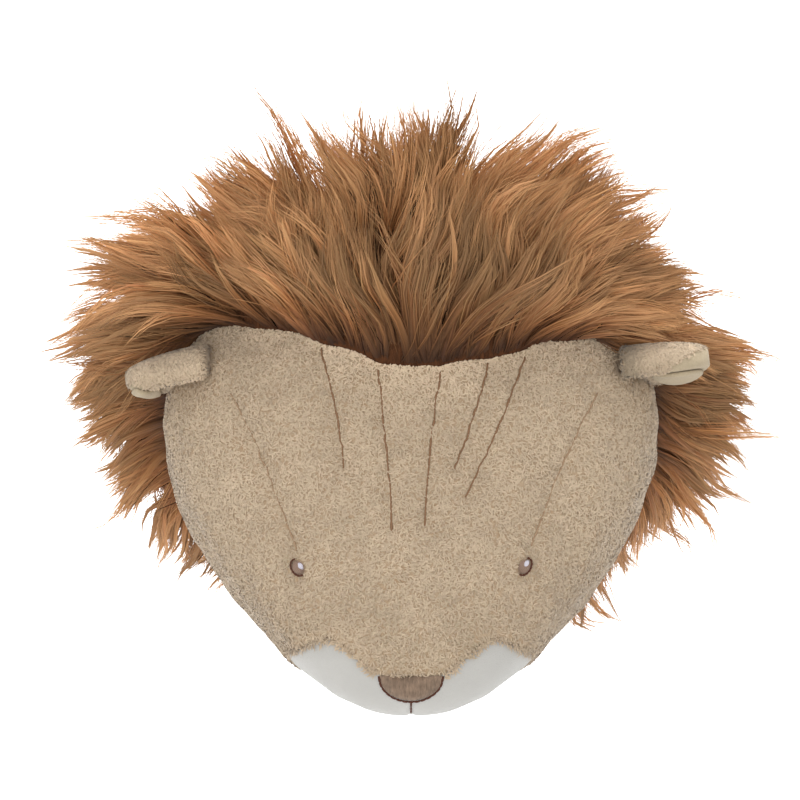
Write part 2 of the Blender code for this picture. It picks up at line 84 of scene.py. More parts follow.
# Angle in degrees against the length of the hair there, and against the angle that it points to
HAIR_LENGTH = (
    (-90, 0.082), (-60, 0.147), (-53, 0.122), (-42, 0.094), (-30, 0.101), (-14, 0.106), (-7, 0.107),
    (6, 0.092), (14, 0.072), (22, 0.058), (34, 0.078), (50, 0.102), (62, 0.128), (75, 0.121), (90, 0.130),
    (105, 0.130), (118, 0.113), (130, 0.094), (142, 0.116), (150, 0.112), (163, 0.096), (170, 0.099),
    (178, 0.084), (184, 0.090), (191, 0.094), (199, 0.104), (207, 0.106), (218, 0.096), (228, 0.088),
    (241, 0.100), (250, 0.098), (270, 0.082))
HAIR_WAY = (
    (-90, -90), (-60, -86), (-40, -74), (-20, -62), (-5, -48), (6, -28), (22, -6), (40, 22), (60, 49),
    (75, 71), (90, 89), (105, 108), (120, 131), (135, 150), (154, 178), (172, 198), (190, 222), (200, 239),
    (216, 256), (241, 267), (270, 270))
FACE_TILT = math.radians(40)
UP_FACE = Vector((0, math.sin(FACE_TILT), math.cos(FACE_TILT)))
OUT_OF_FACE = np.array([0, -0.77, 0.64])
OUT_OF_MANE = np.array([0, -0.75, 0.2])


# Sizes and colours that a user may change

def length(name, description, default, least=0.0, most=1.0):
    return FloatProperty(name=name, description=description, default=default, min=least, max=most,
                         unit="LENGTH", subtype="DISTANCE", precision=5)


def share(name, description, default, least=0.0, most=1.0):
    return FloatProperty(name=name, description=description, default=default, min=least, max=most,
                         subtype="FACTOR")


def number(name, description, default, least=0):
    return IntProperty(name=name, description=description, default=default, min=least)


def colour(name, description, default):
    return FloatVectorProperty(name=name, description=description, default=default, size=3, min=0.0, max=1.0,
                               subtype="COLOR")


class TerrySizes(bpy.types.PropertyGroup):
    """The terry fabric of the face and the ears."""
    tufts: number("Tufts", "How many tufts the face carries", 92500, 1000)
    ear_tufts: number("Ear tufts", "How many tufts each ear carries", 9500, 100)
    tuft_length: length("Tuft length", "Length of one tuft", 0.0033)
    tuft_width: length("Tuft width", "Width of one tuft at its middle", 0.00075)
    tuft_height: length("Tuft height", "How far a tuft stands off the fabric", 0.0007)
    tuck_depth: length("Tuck depth", "How deep the stitched lines pull the fabric in", 0.0024)
    tuck_width: length("Tuck width", "How far to each side a stitched line pulls", 0.0042)
    ground: colour("Ground", "The fabric between the tufts", (0.47, 0.32, 0.19))
    tip: colour("Tip", "The tips of the tufts", (0.590, 0.463, 0.323))
    seed: number("Seed", "Changes where the tufts fall", 11)


class ManeSizes(bpy.types.PropertyGroup):
    """The long-haired fur round the head."""
    clumps: number("Clumps", "How many groups the locks fall into", 430, 20)
    locks: number("Locks", "How many locks the hair gathers into", 1350, 100)
    tresses: number("Tresses", "How many tresses a lock splits into", 3, 1)
    clump_width: length("Clump width", "Width of a clump near the skin", 0.015)
    clumping: share("Clumping", "How tightly a clump's locks meet", 0.60)
    hairs: number("Hairs", "How many hairs the mane has", 55500, 1000)
    hair_width: length("Hair width", "Width of a hair at its middle", 0.00046)
    tress_width: length("Tress width", "Width of a tress at its middle", 0.0036)
    lock_width: length("Lock width", "Width of a lock near the skin", 0.012)
    droop: share("Droop", "How much the hair at the sides hangs down", 1.0)
    wave: length("Wave", "How far the hair waves to and fro", 0.0045)
    gather: share("Gather", "How tightly a lock's tresses meet at its point", 0.90)
    stray: share("Stray", "The share of hairs that leave their lock", 0.04)
    wisps: share("Wisps", "The share of locks that are thin, loose and lie across the others", 0.15)
    tousle: FloatProperty(name="Tousle", description="How many degrees the clumps lean to and fro",
                          default=13, min=0)
    parting: length("Parting", "How far the hair lies apart at the top", 0.005)
    # The root colour is the hair's own darker base deepened into painted shade: the hair darkens to it near
    # the skin, deep in the mane, and the undercoat has it
    root: colour("Root", "The hair near the skin", (0.063, 0.023, 0.008))
    middle: colour("Middle", "The hair along most of its length", (0.335, 0.139, 0.046))
    tip: colour("Tip", "The hair's ends", (0.55, 0.295, 0.128))
    seed: number("Seed", "Changes how the hair lies", 5)


class TrimSizes(bpy.types.PropertyGroup):
    """The muzzle, the nose, the eyes and the stitched lines."""
    muzzle: colour("Muzzle", "The short velour of the muzzle", (0.50, 0.488, 0.458))
    nose: colour("Nose", "The nose's brushed velour", (0.240, 0.166, 0.115))
    dark_thread: colour("Dark thread", "The thread round the nose and the eyes", (0.098, 0.034, 0.019))
    brow_thread: colour("Brow thread", "The thread of the forehead's lines", (0.29, 0.165, 0.09))
    dart_thread: colour("Dart thread", "The thread of the two seams to the eyes", (0.42, 0.285, 0.175))
    eye_thread: colour("Eye thread", "The satin stitches of the eyes", (0.285, 0.19, 0.14))
    glint: colour("Glint", "The pale stitches in the eyes", (0.60, 0.57, 0.63))
    lining: colour("Ear lining", "The cream velour inside the ears", (0.48, 0.39, 0.262))
    felt: colour("Felt", "The felt on the back", (0.20, 0.125, 0.075))
    stitch_length: length("Stitch", "Length of a stitch in the forehead's lines", 0.0050)
    stitch_width: length("Stitch width", "Width of a stitch in the forehead's lines", 0.00095)


class StageSizes(bpy.types.PropertyGroup):
    """The floor, the light and the camera."""
    floor_drop: length("Floor drop", "How far below the head the floor lies", 0.9, most=10)
    camera_distance: length("Camera distance", "From the camera to the head's middle", 1.44, most=10)
    camera_height: FloatProperty(name="Camera height",
                                 description="How far above level the camera looks down",
                                 default=math.radians(40), subtype="ANGLE")
    daylight: FloatProperty(name="Daylight", description="Strength of the light from all round",
                            default=0.82, min=0)
    key: FloatProperty(name="Key light", description="Power of the large soft light over the camera",
                       default=13, min=0)


def sizes(name):
    return getattr(bpy.context.scene, "lion_head_" + name)


# Shader node groups

class Web:
    """Adds nodes to a shader node tree. Each function gives the socket that its new node puts out."""

    def __init__(self, tree):
        self.tree = tree

    def add(self, kind, *links, out=0, **settings):
        """A node with its settings made and its inputs set to values or linked to sockets."""
        node = self.tree.nodes.new("ShaderNode" + kind)
        for key, value in settings.items():
            setattr(node, key, value)
        for socket, value in links:
            if isinstance(value, bpy.types.NodeSocket):
                self.tree.links.new(value, node.inputs[socket])
            else:
                node.inputs[socket].default_value = value
        return node.outputs[out]

    def math(self, operation, *values):
        return self.add("Math", *enumerate(values), operation=operation)

    def ranged(self, value, *ends, **settings):
        """A value moved from one range to another, with ends as (name, value)."""
        return self.add("MapRange", ("Value", value), *ends, **settings)

    def mix(self, amount, first, second):
        return self.add("Mix", (0, amount), (6, first), (7, second), out=2, data_type="RGBA")

    def noise(self, place, scale, detail, *links, **settings):
        return self.add("TexNoise", ("Vector", place), ("Scale", scale), ("Detail", detail), *links,
                        **settings)

    def tinted(self, rgb, lightness, *links):
        return self.add("HueSaturation", ("Color", rgb), ("Value", lightness), *links)

    def give(self, out, **results):
        for name, socket in results.items():
            self.tree.links.new(socket, out[name])


def build_group(name, inputs, outputs):
    """An empty shader node group. A vector input has no default, and a colour's is four numbers."""
    tree = bpy.data.node_groups.new(name, "ShaderNodeTree")
    kinds = {type(None): "NodeSocketVector", tuple: "NodeSocketColor", float: "NodeSocketFloat"}
    for label, default in inputs.items():
        socket = tree.interface.new_socket(label, in_out="INPUT", socket_type=kinds[type(default)])
        if default is not None:
            socket.default_value = default
    for label, kind in outputs.items():
        tree.interface.new_socket(label, in_out="OUTPUT", socket_type=kind)
    return Web(tree), tree.nodes.new("NodeGroupInput").outputs, tree.nodes.new("NodeGroupOutput").inputs


def fibre_colour_group(name):
    """A fibre's colour by its place on the fibre map: dark root to pale tip, and a tone for each column."""
    web, given, out = build_group(name, {
        "Place": None, "Root": BLACK, "Middle": (0.5, 0.5, 0.5, 1), "Tip": WHITE, "Root End": 0.4,
        "Tip Start": 0.55, "Darkest": 0.7, "Lightest": 1.2, "Odd Hue": 0.06, "Strands": 0.0},
        {"Color": "NodeSocketColor"})
    place = web.add("SeparateXYZ", (0, given["Place"])).node.outputs
    low = web.ranged(place["Y"], ("From Max", given["Root End"]), interpolation_type="SMOOTHSTEP")
    high = web.ranged(place["Y"], ("From Min", given["Tip Start"]), interpolation_type="SMOOTHSTEP")
    plain = web.mix(high, web.mix(low, given["Root"], given["Middle"]), given["Tip"])
    tone = web.ranged(place["X"], ("To Min", given["Darkest"]), ("To Max", given["Lightest"]))
    # Each column of the map has its own hue
    column = web.math("FLOOR", web.math("MULTIPLY", place["X"], float(COLUMNS_OF_TONE)))
    chance = web.add("TexWhiteNoise", ("W", column), out="Value", noise_dimensions="1D")
    odd = web.math("MULTIPLY", web.math("SUBTRACT", chance, 0.5), given["Odd Hue"])
    # Fine streaks run along a fibre
    grain = (COLUMNS_OF_TONE * 8.0, 2.5, 0.0)
    fine = web.add("VectorMath", (0, given["Place"]), (1, grain), operation="MULTIPLY")
    streak = web.ranged(web.noise(fine, 1.0, 1.0, noise_dimensions="2D"), *NOISE_ENDS,
                        ("To Min", web.math("SUBTRACT", 1.0, given["Strands"])),
                        ("To Max", web.math("ADD", 1.0, given["Strands"])))
    lightness = web.math("MULTIPLY", tone, streak)
    web.give(out, Color=web.tinted(plain, lightness, ("Hue", web.math("ADD", odd, 0.5))))


def pile_group(name):
    """A short pile's mottling of soft patches and fine specks, as a colour and a height for bump. The colour
    follows the bump: painted shade in its hollows and painted light on its tufts.
    """
    web, given, out = build_group(name, {
        "Place": None, "Deep": BLACK, "Raised": WHITE, "Patch Size": 0.012, "Tuft Size": 0.0012,
        "Patchiness": 0.3, "Brushed": 1.0}, {"Color": "NodeSocketColor", "Height": "NodeSocketFloat"})
    combed = web.add("CombineXYZ", ("X", 1.0), ("Y", given["Brushed"]), ("Z", given["Brushed"]))
    brushed = web.add("VectorMath", (0, given["Place"]), (1, combed), operation="MULTIPLY")
    patches = web.noise(given["Place"], web.math("DIVIDE", 1.0, given["Patch Size"]), 2.0,
                        ("Roughness", 0.55))
    tufts = web.noise(brushed, web.math("DIVIDE", 1.0, given["Tuft Size"]), 3.0, ("Roughness", 0.65))
    spread = web.ranged(patches, ("From Min", 0.3), ("From Max", 0.7))
    sharp = web.ranged(tufts, *NOISE_ENDS)
    both = web.add("Mix", (0, given["Patchiness"]), (2, sharp), (3, spread), data_type="FLOAT")
    web.give(out, Color=web.mix(both, given["Deep"], given["Raised"]), Height=sharp)


def twist_group(name):
    """The plies of a thread: slanted bands for colour and bump. The colour follows the bump, with painted
    shade between the plies.
    """
    web, given, out = build_group(name, {
        "Place": None, "Thread": (0.1, 0.1, 0.1, 1), "Ply Width": 0.0004, "Contrast": 0.4},
        {"Color": "NodeSocketColor", "Height": "NodeSocketFloat"})
    bands = web.add("TexWave", ("Vector", given["Place"]),
                    ("Scale", web.math("DIVIDE", 0.31, given["Ply Width"])),
                    ("Distortion", 1.5), ("Detail", 1.0), out="Fac", bands_direction="DIAGONAL")
    tone = web.ranged(bands, ("To Min", web.math("SUBTRACT", 1.0, given["Contrast"])), ("To Max", 1.15))
    web.give(out, Color=web.tinted(given["Thread"], tone), Height=bands)


GROUP_BUILDERS = {"Fibre colour": fibre_colour_group, "Pile": pile_group, "Thread twist": twist_group}


# Materials

# For each pile: roughness, sheen, how deep and how strong its bump is, how far its hollows are darkened and
# its tips lightened (painted shade and light that follow the bump), the sizes of its patches and tufts, how
# patchy it is, and how far it is brushed, from 1 for not at all
PILES = {
    "terry ground": (0.95, 0.15, 0.0006, 1.0, 0.9, 0.9, 0.014, 0.0021, 0.3, 1.0),
    "ear lining": (0.9, 0.15, 0.00022, 1.0, 0.84, 1.06, 0.009, 0.0007, 0.45, 1.0),
    "mane undercoat": (0.9, 0.0, 0.0012, 1.0, 0.7, 1.9, 0.01, 0.0022, 0.2, 0.25),
    "muzzle velour": (0.88, 0.3, 0.00014, 1.0, 0.94, 1.04, 0.02, 0.0006, 0.6, 1.0),
    "nose velour": (0.85, 0.15, 0.0003, 1.0, 0.46, 1.36, 0.006, 0.0008, 0.45, 0.2),
    "backing felt": (0.95, 0.25, 0.00035, 1.0, 0.8, 1.15, 0.018, 0.0011, 0.35, 1.0),
    "floor": (0.9, 0.0, 0.001, 0.1, 0.97, 1.0, 0.8, 0.05, 0.5, 1.0),
}


def opaque(rgb, scale=1.0):
    return (*(min(1.0, c * scale) for c in rgb), 1.0)


def cloth_material(name, group, roughness, sheen, specular, values, depth=0.0, strength=1.0):
    """A material whose colour comes from a node group, built once. With a depth, so does its bump."""
    if name in bpy.data.materials:
        return bpy.data.materials[name]
    if group not in bpy.data.node_groups:
        GROUP_BUILDERS[group](group)
    made = bpy.data.materials.new(name)
    made.use_nodes = True
    web = Web(made.node_tree)
    shader = web.tree.nodes["Principled BSDF"]
    shader.inputs["Roughness"].default_value = roughness
    shader.inputs["Sheen Weight"].default_value = sheen
    shader.inputs["Specular IOR Level"].default_value = specular
    on_map = group == "Fibre colour"
    place = web.add("UVMap", uv_map=FIBRE_MAP) if on_map else web.add("TexCoord", out="Object")
    tree = bpy.data.node_groups[group]
    cloth = web.add("Group", ("Place", place), *values.items(), node_tree=tree).node.outputs
    web.tree.links.new(cloth["Color"], shader.inputs["Base Color"])
    if depth:
        bump = web.add("Bump", ("Height", cloth["Height"]), ("Distance", depth), ("Strength", strength))
        web.tree.links.new(bump, shader.inputs["Normal"])
    return made


def pile_material(name, low, high=None):
    """A material for short pile or felt, from the colours of its hollows and of its tips."""
    roughness, sheen, depth, strength, darken, lighten, patch, tuft, patchiness, brushed = PILES[name]
    values = {"Deep": opaque(low, darken), "Raised": opaque(low if high is None else high, lighten),
              "Patch Size": patch, "Tuft Size": tuft, "Patchiness": patchiness, "Brushed": brushed}
    return cloth_material(name, "Pile", roughness, sheen, 0.2, values, depth, strength)


def thread_material(name, rgb, roughness, sheen=0.0, ply=0.0004, contrast=0.4):
    """A material for twisted thread."""
    values = {"Thread": opaque(rgb), "Ply Width": ply, "Contrast": contrast}
    return cloth_material(name, "Thread twist", roughness, sheen, 0.2, values, 0.0001, 0.6)


# Meshes

def in_scene(name, data):
    """A new object with that data, in the scene."""
    obj = bpy.data.objects.new(name, data)
    bpy.context.scene.collection.objects.link(obj)
    return obj


def add_piece(mesh, material, replaces=()):
    """Makes a piece, named as its mesh is, that rides on the frame, and hides the CAD nodes that it replaces.
    """
    obj = in_scene(mesh.name, mesh)
    mesh.materials.clear()
    mesh.materials.append(material)
    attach(obj, "root")
    if replaces:
        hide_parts(*replaces)
    return obj


def places_of(mesh, kind="co"):
    found = np.empty(len(mesh.vertices) * 3, np.float32)
    mesh.vertices.foreach_get(kind, found)
    return found.reshape(-1, 3).astype(float)


def normals_of(mesh):
    return places_of(mesh, "normal")


def set_places(mesh, places):
    mesh.vertices.foreach_set("co", np.ascontiguousarray(places, np.float32).ravel())
    mesh.update()


def surface_of(name):
    """The surface of a CAD node or of a finished piece, for finding the nearest place on it."""
    mesh = (NODES[name] if name in NODES else bpy.data.objects[name]).data
    places = [v.co.copy() for v in mesh.vertices]
    return BVHTree.FromPolygons(places, [tuple(p.vertices) for p in mesh.polygons])


def mesh_from(bm, name):
    """A smooth-shaded mesh from a bmesh, which it frees."""
    mesh = bpy.data.meshes.new(name)
    bm.to_mesh(mesh)
    bm.free()
    mesh.shade_smooth()
    return mesh


def bridge(bm, rings):
    """Faces from each ring of vertices to the next."""
    for a, b in zip(rings, rings[1:]):
        for j in range(len(a)):
            k = (j + 1) % len(a)
            bm.faces.new((a[j], a[k], b[k], b[j]))


def even_mesh(name, nodes, voxel, passes):
    """One mesh from copies of CAD nodes, with faces of even size and a soft surface."""
    bm = bmesh.new()
    for node in nodes:
        bm.from_mesh(NODES[node].data)
    bmesh.ops.remove_doubles(bm, verts=bm.verts, dist=1e-6)
    rough = mesh_from(bm, name + "_rough")
    obj = in_scene(rough.name, rough)
    even = obj.modifiers.new("Even faces", "REMESH")
    even.mode = "VOXEL"
    even.voxel_size = voxel
    soft = obj.modifiers.new("Soft surface", "SMOOTH")
    soft.factor = 0.5
    soft.iterations = passes
    graph = bpy.context.evaluated_depsgraph_get()
    mesh = bpy.data.meshes.new_from_object(obj.evaluated_get(graph))
    mesh.name = name
    bpy.data.objects.remove(obj)
    bpy.data.meshes.remove(rough)
    if not mesh.polygons:
        raise RuntimeError(f"{name} came out empty")
    mesh.shade_smooth()
    return mesh


def fibre_mesh(name, left, right, tip, tone, shading, foot=None):
    """A mesh of flat tapering fibres. left and right are arrays of (fibre, place along it, xyz), and shading
    has the normals for left, right and tip. With a foot, a fibre starts in a point as well."""
    count, rows = left.shape[:2]
    width = 2 * rows + 1 + (foot is not None)

    def laid_out(a, b, c, d):
        found = np.empty((count, width, 3))
        found[:, 0:2 * rows:2] = a
        found[:, 1:2 * rows:2] = b
        found[:, 2 * rows] = c
        if foot is not None:
            found[:, -1] = d
        return found

    one, starts = [], []
    for j in range(rows - 1):
        starts.append(len(one))
        one += [2 * j, 2 * j + 1, 2 * j + 3, 2 * j + 2]
    starts.append(len(one))
    one += [2 * rows - 2, 2 * rows - 1, 2 * rows]
    if foot is not None:
        starts.append(len(one))
        one += [2 * rows + 1, 1, 0]
    corners = (np.array(one)[None] + width * np.arange(count)[:, None]).ravel()
    begins = (np.array(starts)[None] + len(one) * np.arange(count)[:, None]).ravel()
    mesh = bpy.data.meshes.new(name)
    mesh.vertices.add(count * width)
    mesh.vertices.foreach_set("co", laid_out(left, right, tip, foot).astype(np.float32).ravel())
    mesh.loops.add(len(corners))
    mesh.loops.foreach_set("vertex_index", corners.astype(np.int32))
    mesh.polygons.add(len(begins))
    mesh.polygons.foreach_set("loop_start", begins.astype(np.int32))
    mesh.update(calc_edges=True)
    along = np.repeat(np.linspace(0.01 if foot is None else 0.5, 0.93, rows), 2).tolist() + [0.99, 0.01]
    side = [0.1, 0.9] * rows + [0.5, 0.5]
    place = np.empty((count, len(one), 2))
    place[:, :, 0] = (tone[:, None] + np.array(side)[one][None]) / COLUMNS_OF_TONE
    place[:, :, 1] = np.array(along)[one][None]
    layer = mesh.uv_layers.new(name=FIBRE_MAP)
    layer.data.foreach_set("uv", place.astype(np.float32).ravel())
    mesh.shade_smooth()
    mesh.normals_split_custom_set_from_vertices(laid_out(*shading, shading[0][:, 0]).reshape(-1, 3))
    return mesh


def columns(tone):
    """The fibre map's column for each tone from 0 to 1."""
    return np.clip(tone * COLUMNS_OF_TONE, 0, COLUMNS_OF_TONE - 1).astype(int)


def dealt(name, pieces):
    """The names of the pieces that fibres are dealt out to, and which fibres go to each."""
    return [(f"{name}_{k + 1}", slice(k, None, pieces)) for k in range(pieces)]


def unit(v):
    return v / np.maximum(np.linalg.norm(v, axis=-1, keepdims=True), 1e-12)


def ribbons(name, path, facing, widths, tone, outward, softness, pointed=False):
    """Fibres along path, an array of (fibre, place, xyz), whose flat sides look along facing.
    Their shading leans from the flat side towards outward by the share softness, which keeps a pile soft."""
    first = 1 if pointed else 0
    tangent = unit(np.gradient(path, axis=1))
    side = unit(np.cross(tangent, facing[:, None]))
    flat = np.cross(side, tangent)
    flat *= np.where((flat * outward[:, None]).sum(2, keepdims=True) < 0, -1.0, 1.0)
    across = outward[:, None] - tangent * (tangent * outward[:, None]).sum(2, keepdims=True)
    shading = unit(flat * (1 - softness) + unit(across) * softness)
    half = side * (widths[:, :, None] / 2)
    normals = (shading[:, first:-1], shading[:, first:-1], shading[:, -1])
    left, right = (path - half)[:, first:-1], (path + half)[:, first:-1]
    foot = path[:, 0] if pointed else None
    return fibre_mesh(name, left, right, path[:, -1], tone, normals, foot)


def waves(places, size, seed, count=9):
    """A smooth random value from about -1 to 1 at each place, with features of about that size."""
    rng = np.random.default_rng(seed)
    total = np.zeros(len(places))
    for _ in range(count):
        way = unit(rng.normal(size=places.shape[1])) * (2 * math.pi / (size * rng.uniform(0.7, 1.6)))
        total += np.sin(places @ way + rng.uniform(0, 2 * math.pi))
    return total / math.sqrt(count) * 1.2


def hill(x, middle, width):
    """1 at the middle, falling away to both sides."""
    return np.exp(-((x - middle) / width) ** 2)


def upward(turn):
    """How far up the mane's ring a turn lies: 1 at the top, 0 at the sides and below."""
    return np.clip(np.sin(turn * 2 * math.pi), 0, 1)


def by_angle(table, degrees):
    """Values of a table of (angle, value) at an array of angles, from -90 to 270."""
    angles, values = zip(*table)
    return np.interp((degrees + 90) % 360 - 90, angles, values)


def fitted(places, along, count, degree):
    """A smooth path of that many places through scattered ones, from the least value of along up."""
    span = np.linspace(along.min(), along.max(), count)
    return np.stack([np.polyval(np.polyfit(along, places[:, k], degree), span) for k in range(3)], axis=1)


def centre_line(node, count=25):
    """A smooth path of that many places through the middle of a thin CAD node, from its top end down."""
    places = places_of(NODES[node].data)
    middle = places.mean(0)
    way = np.linalg.svd(places - middle, full_matrices=False)[2][0]
    if way[2] > 0:
        way = -way
    return fitted(places, (places - middle) @ way, count, 4)


LINE_NODES = [n for n in sorted(NODES) if n.startswith(("brow_stitch", "dart_stitch"))]
EYE_NODES = ("eye_left", "eye_right")


def distance_to_lines(places, lines):
    """How far each place is from the nearest of the lines."""
    nearest = np.full(len(places), 1.0)
    for line in lines:
        for start in range(0, len(places), 20000):
            part = places[start:start + 20000]
            gaps = np.linalg.norm(part[:, None] - line[None], axis=2).min(1)
            nearest[start:start + 20000] = np.minimum(nearest[start:start + 20000], gaps)
    return nearest


# The hairline

class Hairline:
    """Where the mane meets the face, as a depth out from the wall at each angle round the mane's middle."""

    def __init__(self):
        head = surface_of("head")
        found = {}
        for v in NODES["mane"].data.vertices:
            gap = head.find_nearest(v.co, 0.001)[3]
            if gap is not None and gap < 0.0009:
                angle = math.degrees(math.atan2(v.co.z - MANE_MIDDLE, v.co.x)) % 360
                turn = int(angle / 6)
                found[turn] = max(found.get(turn, (0.0, 0.0)), (-v.co.y, angle))
        depths, self.angles = (np.array(c) for c in zip(*(found[t] for t in sorted(found))))
        self.depths = (np.roll(depths, 1) + 2 * depths + np.roll(depths, -1)) / 4
        self.head = head

    def depth(self, degrees):
        return np.interp(degrees % 360, self.angles, self.depths, period=360)

    def of_places(self, places):
        return self.depth(np.degrees(np.arctan2(places[:, 2] - MANE_MIDDLE, places[:, 0])))


# The terry fabric

def sampled(mesh, count, rng):
    """Random places on a mesh, evenly by area, with the surface's normals there."""
    mesh.calc_loop_triangles()
    corners = np.empty(len(mesh.loop_triangles) * 3, np.int32)
    mesh.loop_triangles.foreach_get("vertices", corners)
    corners = corners.reshape(-1, 3)
    places, normals = places_of(mesh), normals_of(mesh)
    a, b, c = (places[corners[:, k]] for k in range(3))
    areas = np.linalg.norm(np.cross(b - a, c - a), axis=1)
    picked = rng.choice(len(corners), count, p=areas / areas.sum())
    u, v = rng.random(count), rng.random(count)
    over = u + v > 1
    u[over], v[over] = 1 - u[over], 1 - v[over]
    weights = np.stack([1 - u - v, u, v], axis=1)[:, :, None]
    return ((places[corners[picked]] * weights).sum(1), unit((normals[corners[picked]] * weights).sum(1)))


def tufts(name, roots, normals, scale, rng, terry, lean=0.0, shade=0.0):
    """Curled tufts at roots. scale shrinks each where it is below 1, lean is a direction that it tends to
    point in, and shade is painted shade that darkens it, or painted light that lightens it where it is below
    0."""
    count = len(roots)
    any_way = rng.normal(size=(count, 3)) + lean
    along = unit(any_way - normals * (any_way * normals).sum(1, keepdims=True))
    across = np.cross(normals, along)
    size = (terry.tuft_length * rng.uniform(0.65, 1.25, count) * scale)[:, None]
    high = (terry.tuft_height * rng.uniform(0.6, 1.3, count) * scale)[:, None]
    curl = rng.uniform(-0.45, 0.45, (count, 1))
    foot = roots - normals * 0.0003 - along * size * 0.15
    middle = roots + normals * high + along * size * 0.48 + across * size * curl * 0.5
    tip = (roots + normals * high * rng.uniform(0.5, 1.0, (count, 1)) + along * size
           + across * size * curl * -0.4)
    path = np.stack([foot, middle, tip], axis=1)
    widths = terry.tuft_width * rng.uniform(0.75, 1.25, (count, 1)) * np.array([[0.6, 1.0, 0.0]])
    tone = 0.5 + 0.04 * waves(roots, 0.010, 3) + 0.03 * waves(roots, 0.030, 4) + rng.normal(0, 0.06, count)
    tone += 0.045 * waves(roots, 0.0048, 5)
    facing = unit(normals + 0.15 * rng.normal(size=(count, 3)))
    return ribbons(name, path, facing, widths, columns(tone - shade), normals, softness=0.85, pointed=True)


def terry_materials():
    """The materials of the fabric between the tufts and of the tufts."""
    terry = sizes("terry")
    ground = pile_material("terry ground", terry.ground, terry.tip)
    fibres = cloth_material("terry tufts", "Fibre colour", roughness=0.92, sheen=0.25, specular=0.15, values={
        "Root": opaque(terry.ground), "Middle": opaque(terry.tip, 0.9), "Tip": opaque(terry.tip, 1.03),
        "Root End": 0.4, "Tip Start": 0.5, "Darkest": 0.62, "Lightest": 1.36, "Odd Hue": 0.012})
    return ground, fibres


class LION_OT_face(bpy.types.Operator):
    """Make the stuffed terry face, pulled in along its stitched lines"""
    bl_idname = "lion_head.face"
    bl_label = "Face"
    depth_under_muzzle = 0.0028

    def execute(self, context):
        terry = sizes("terry")
        # The fabric runs on under the muzzle, so that no gap opens at its seam
        mesh = even_mesh("face", ["head", "muzzle"], voxel=0.0024, passes=8)
        places, normals = places_of(mesh), normals_of(mesh)
        head, muzzle = surface_of("head"), surface_of("muzzle")
        under = np.zeros(len(places))
        for i in np.nonzero(-places[:, 1] > MUZZLE_FROM - 0.01)[0]:
            over = head.find_nearest(Vector(places[i]))[3] - muzzle.find_nearest(Vector(places[i]))[3]
            under[i] = self.depth_under_muzzle * min(1.0, max(0.0, over / 0.001))
        gap = distance_to_lines(places, [centre_line(n) for n in LINE_NODES])
        sunk = terry.tuck_depth * hill(gap, 0, terry.tuck_width)
        lumps = 0.0005 * waves(places, 0.022, 8) + 0.0005 * (-places[:, 1] > MUZZLE_FROM)
        set_places(mesh, places + normals * (lumps - sunk - under)[:, None])
        add_piece(mesh, terry_materials()[0], ("head",))
        return {"FINISHED"}


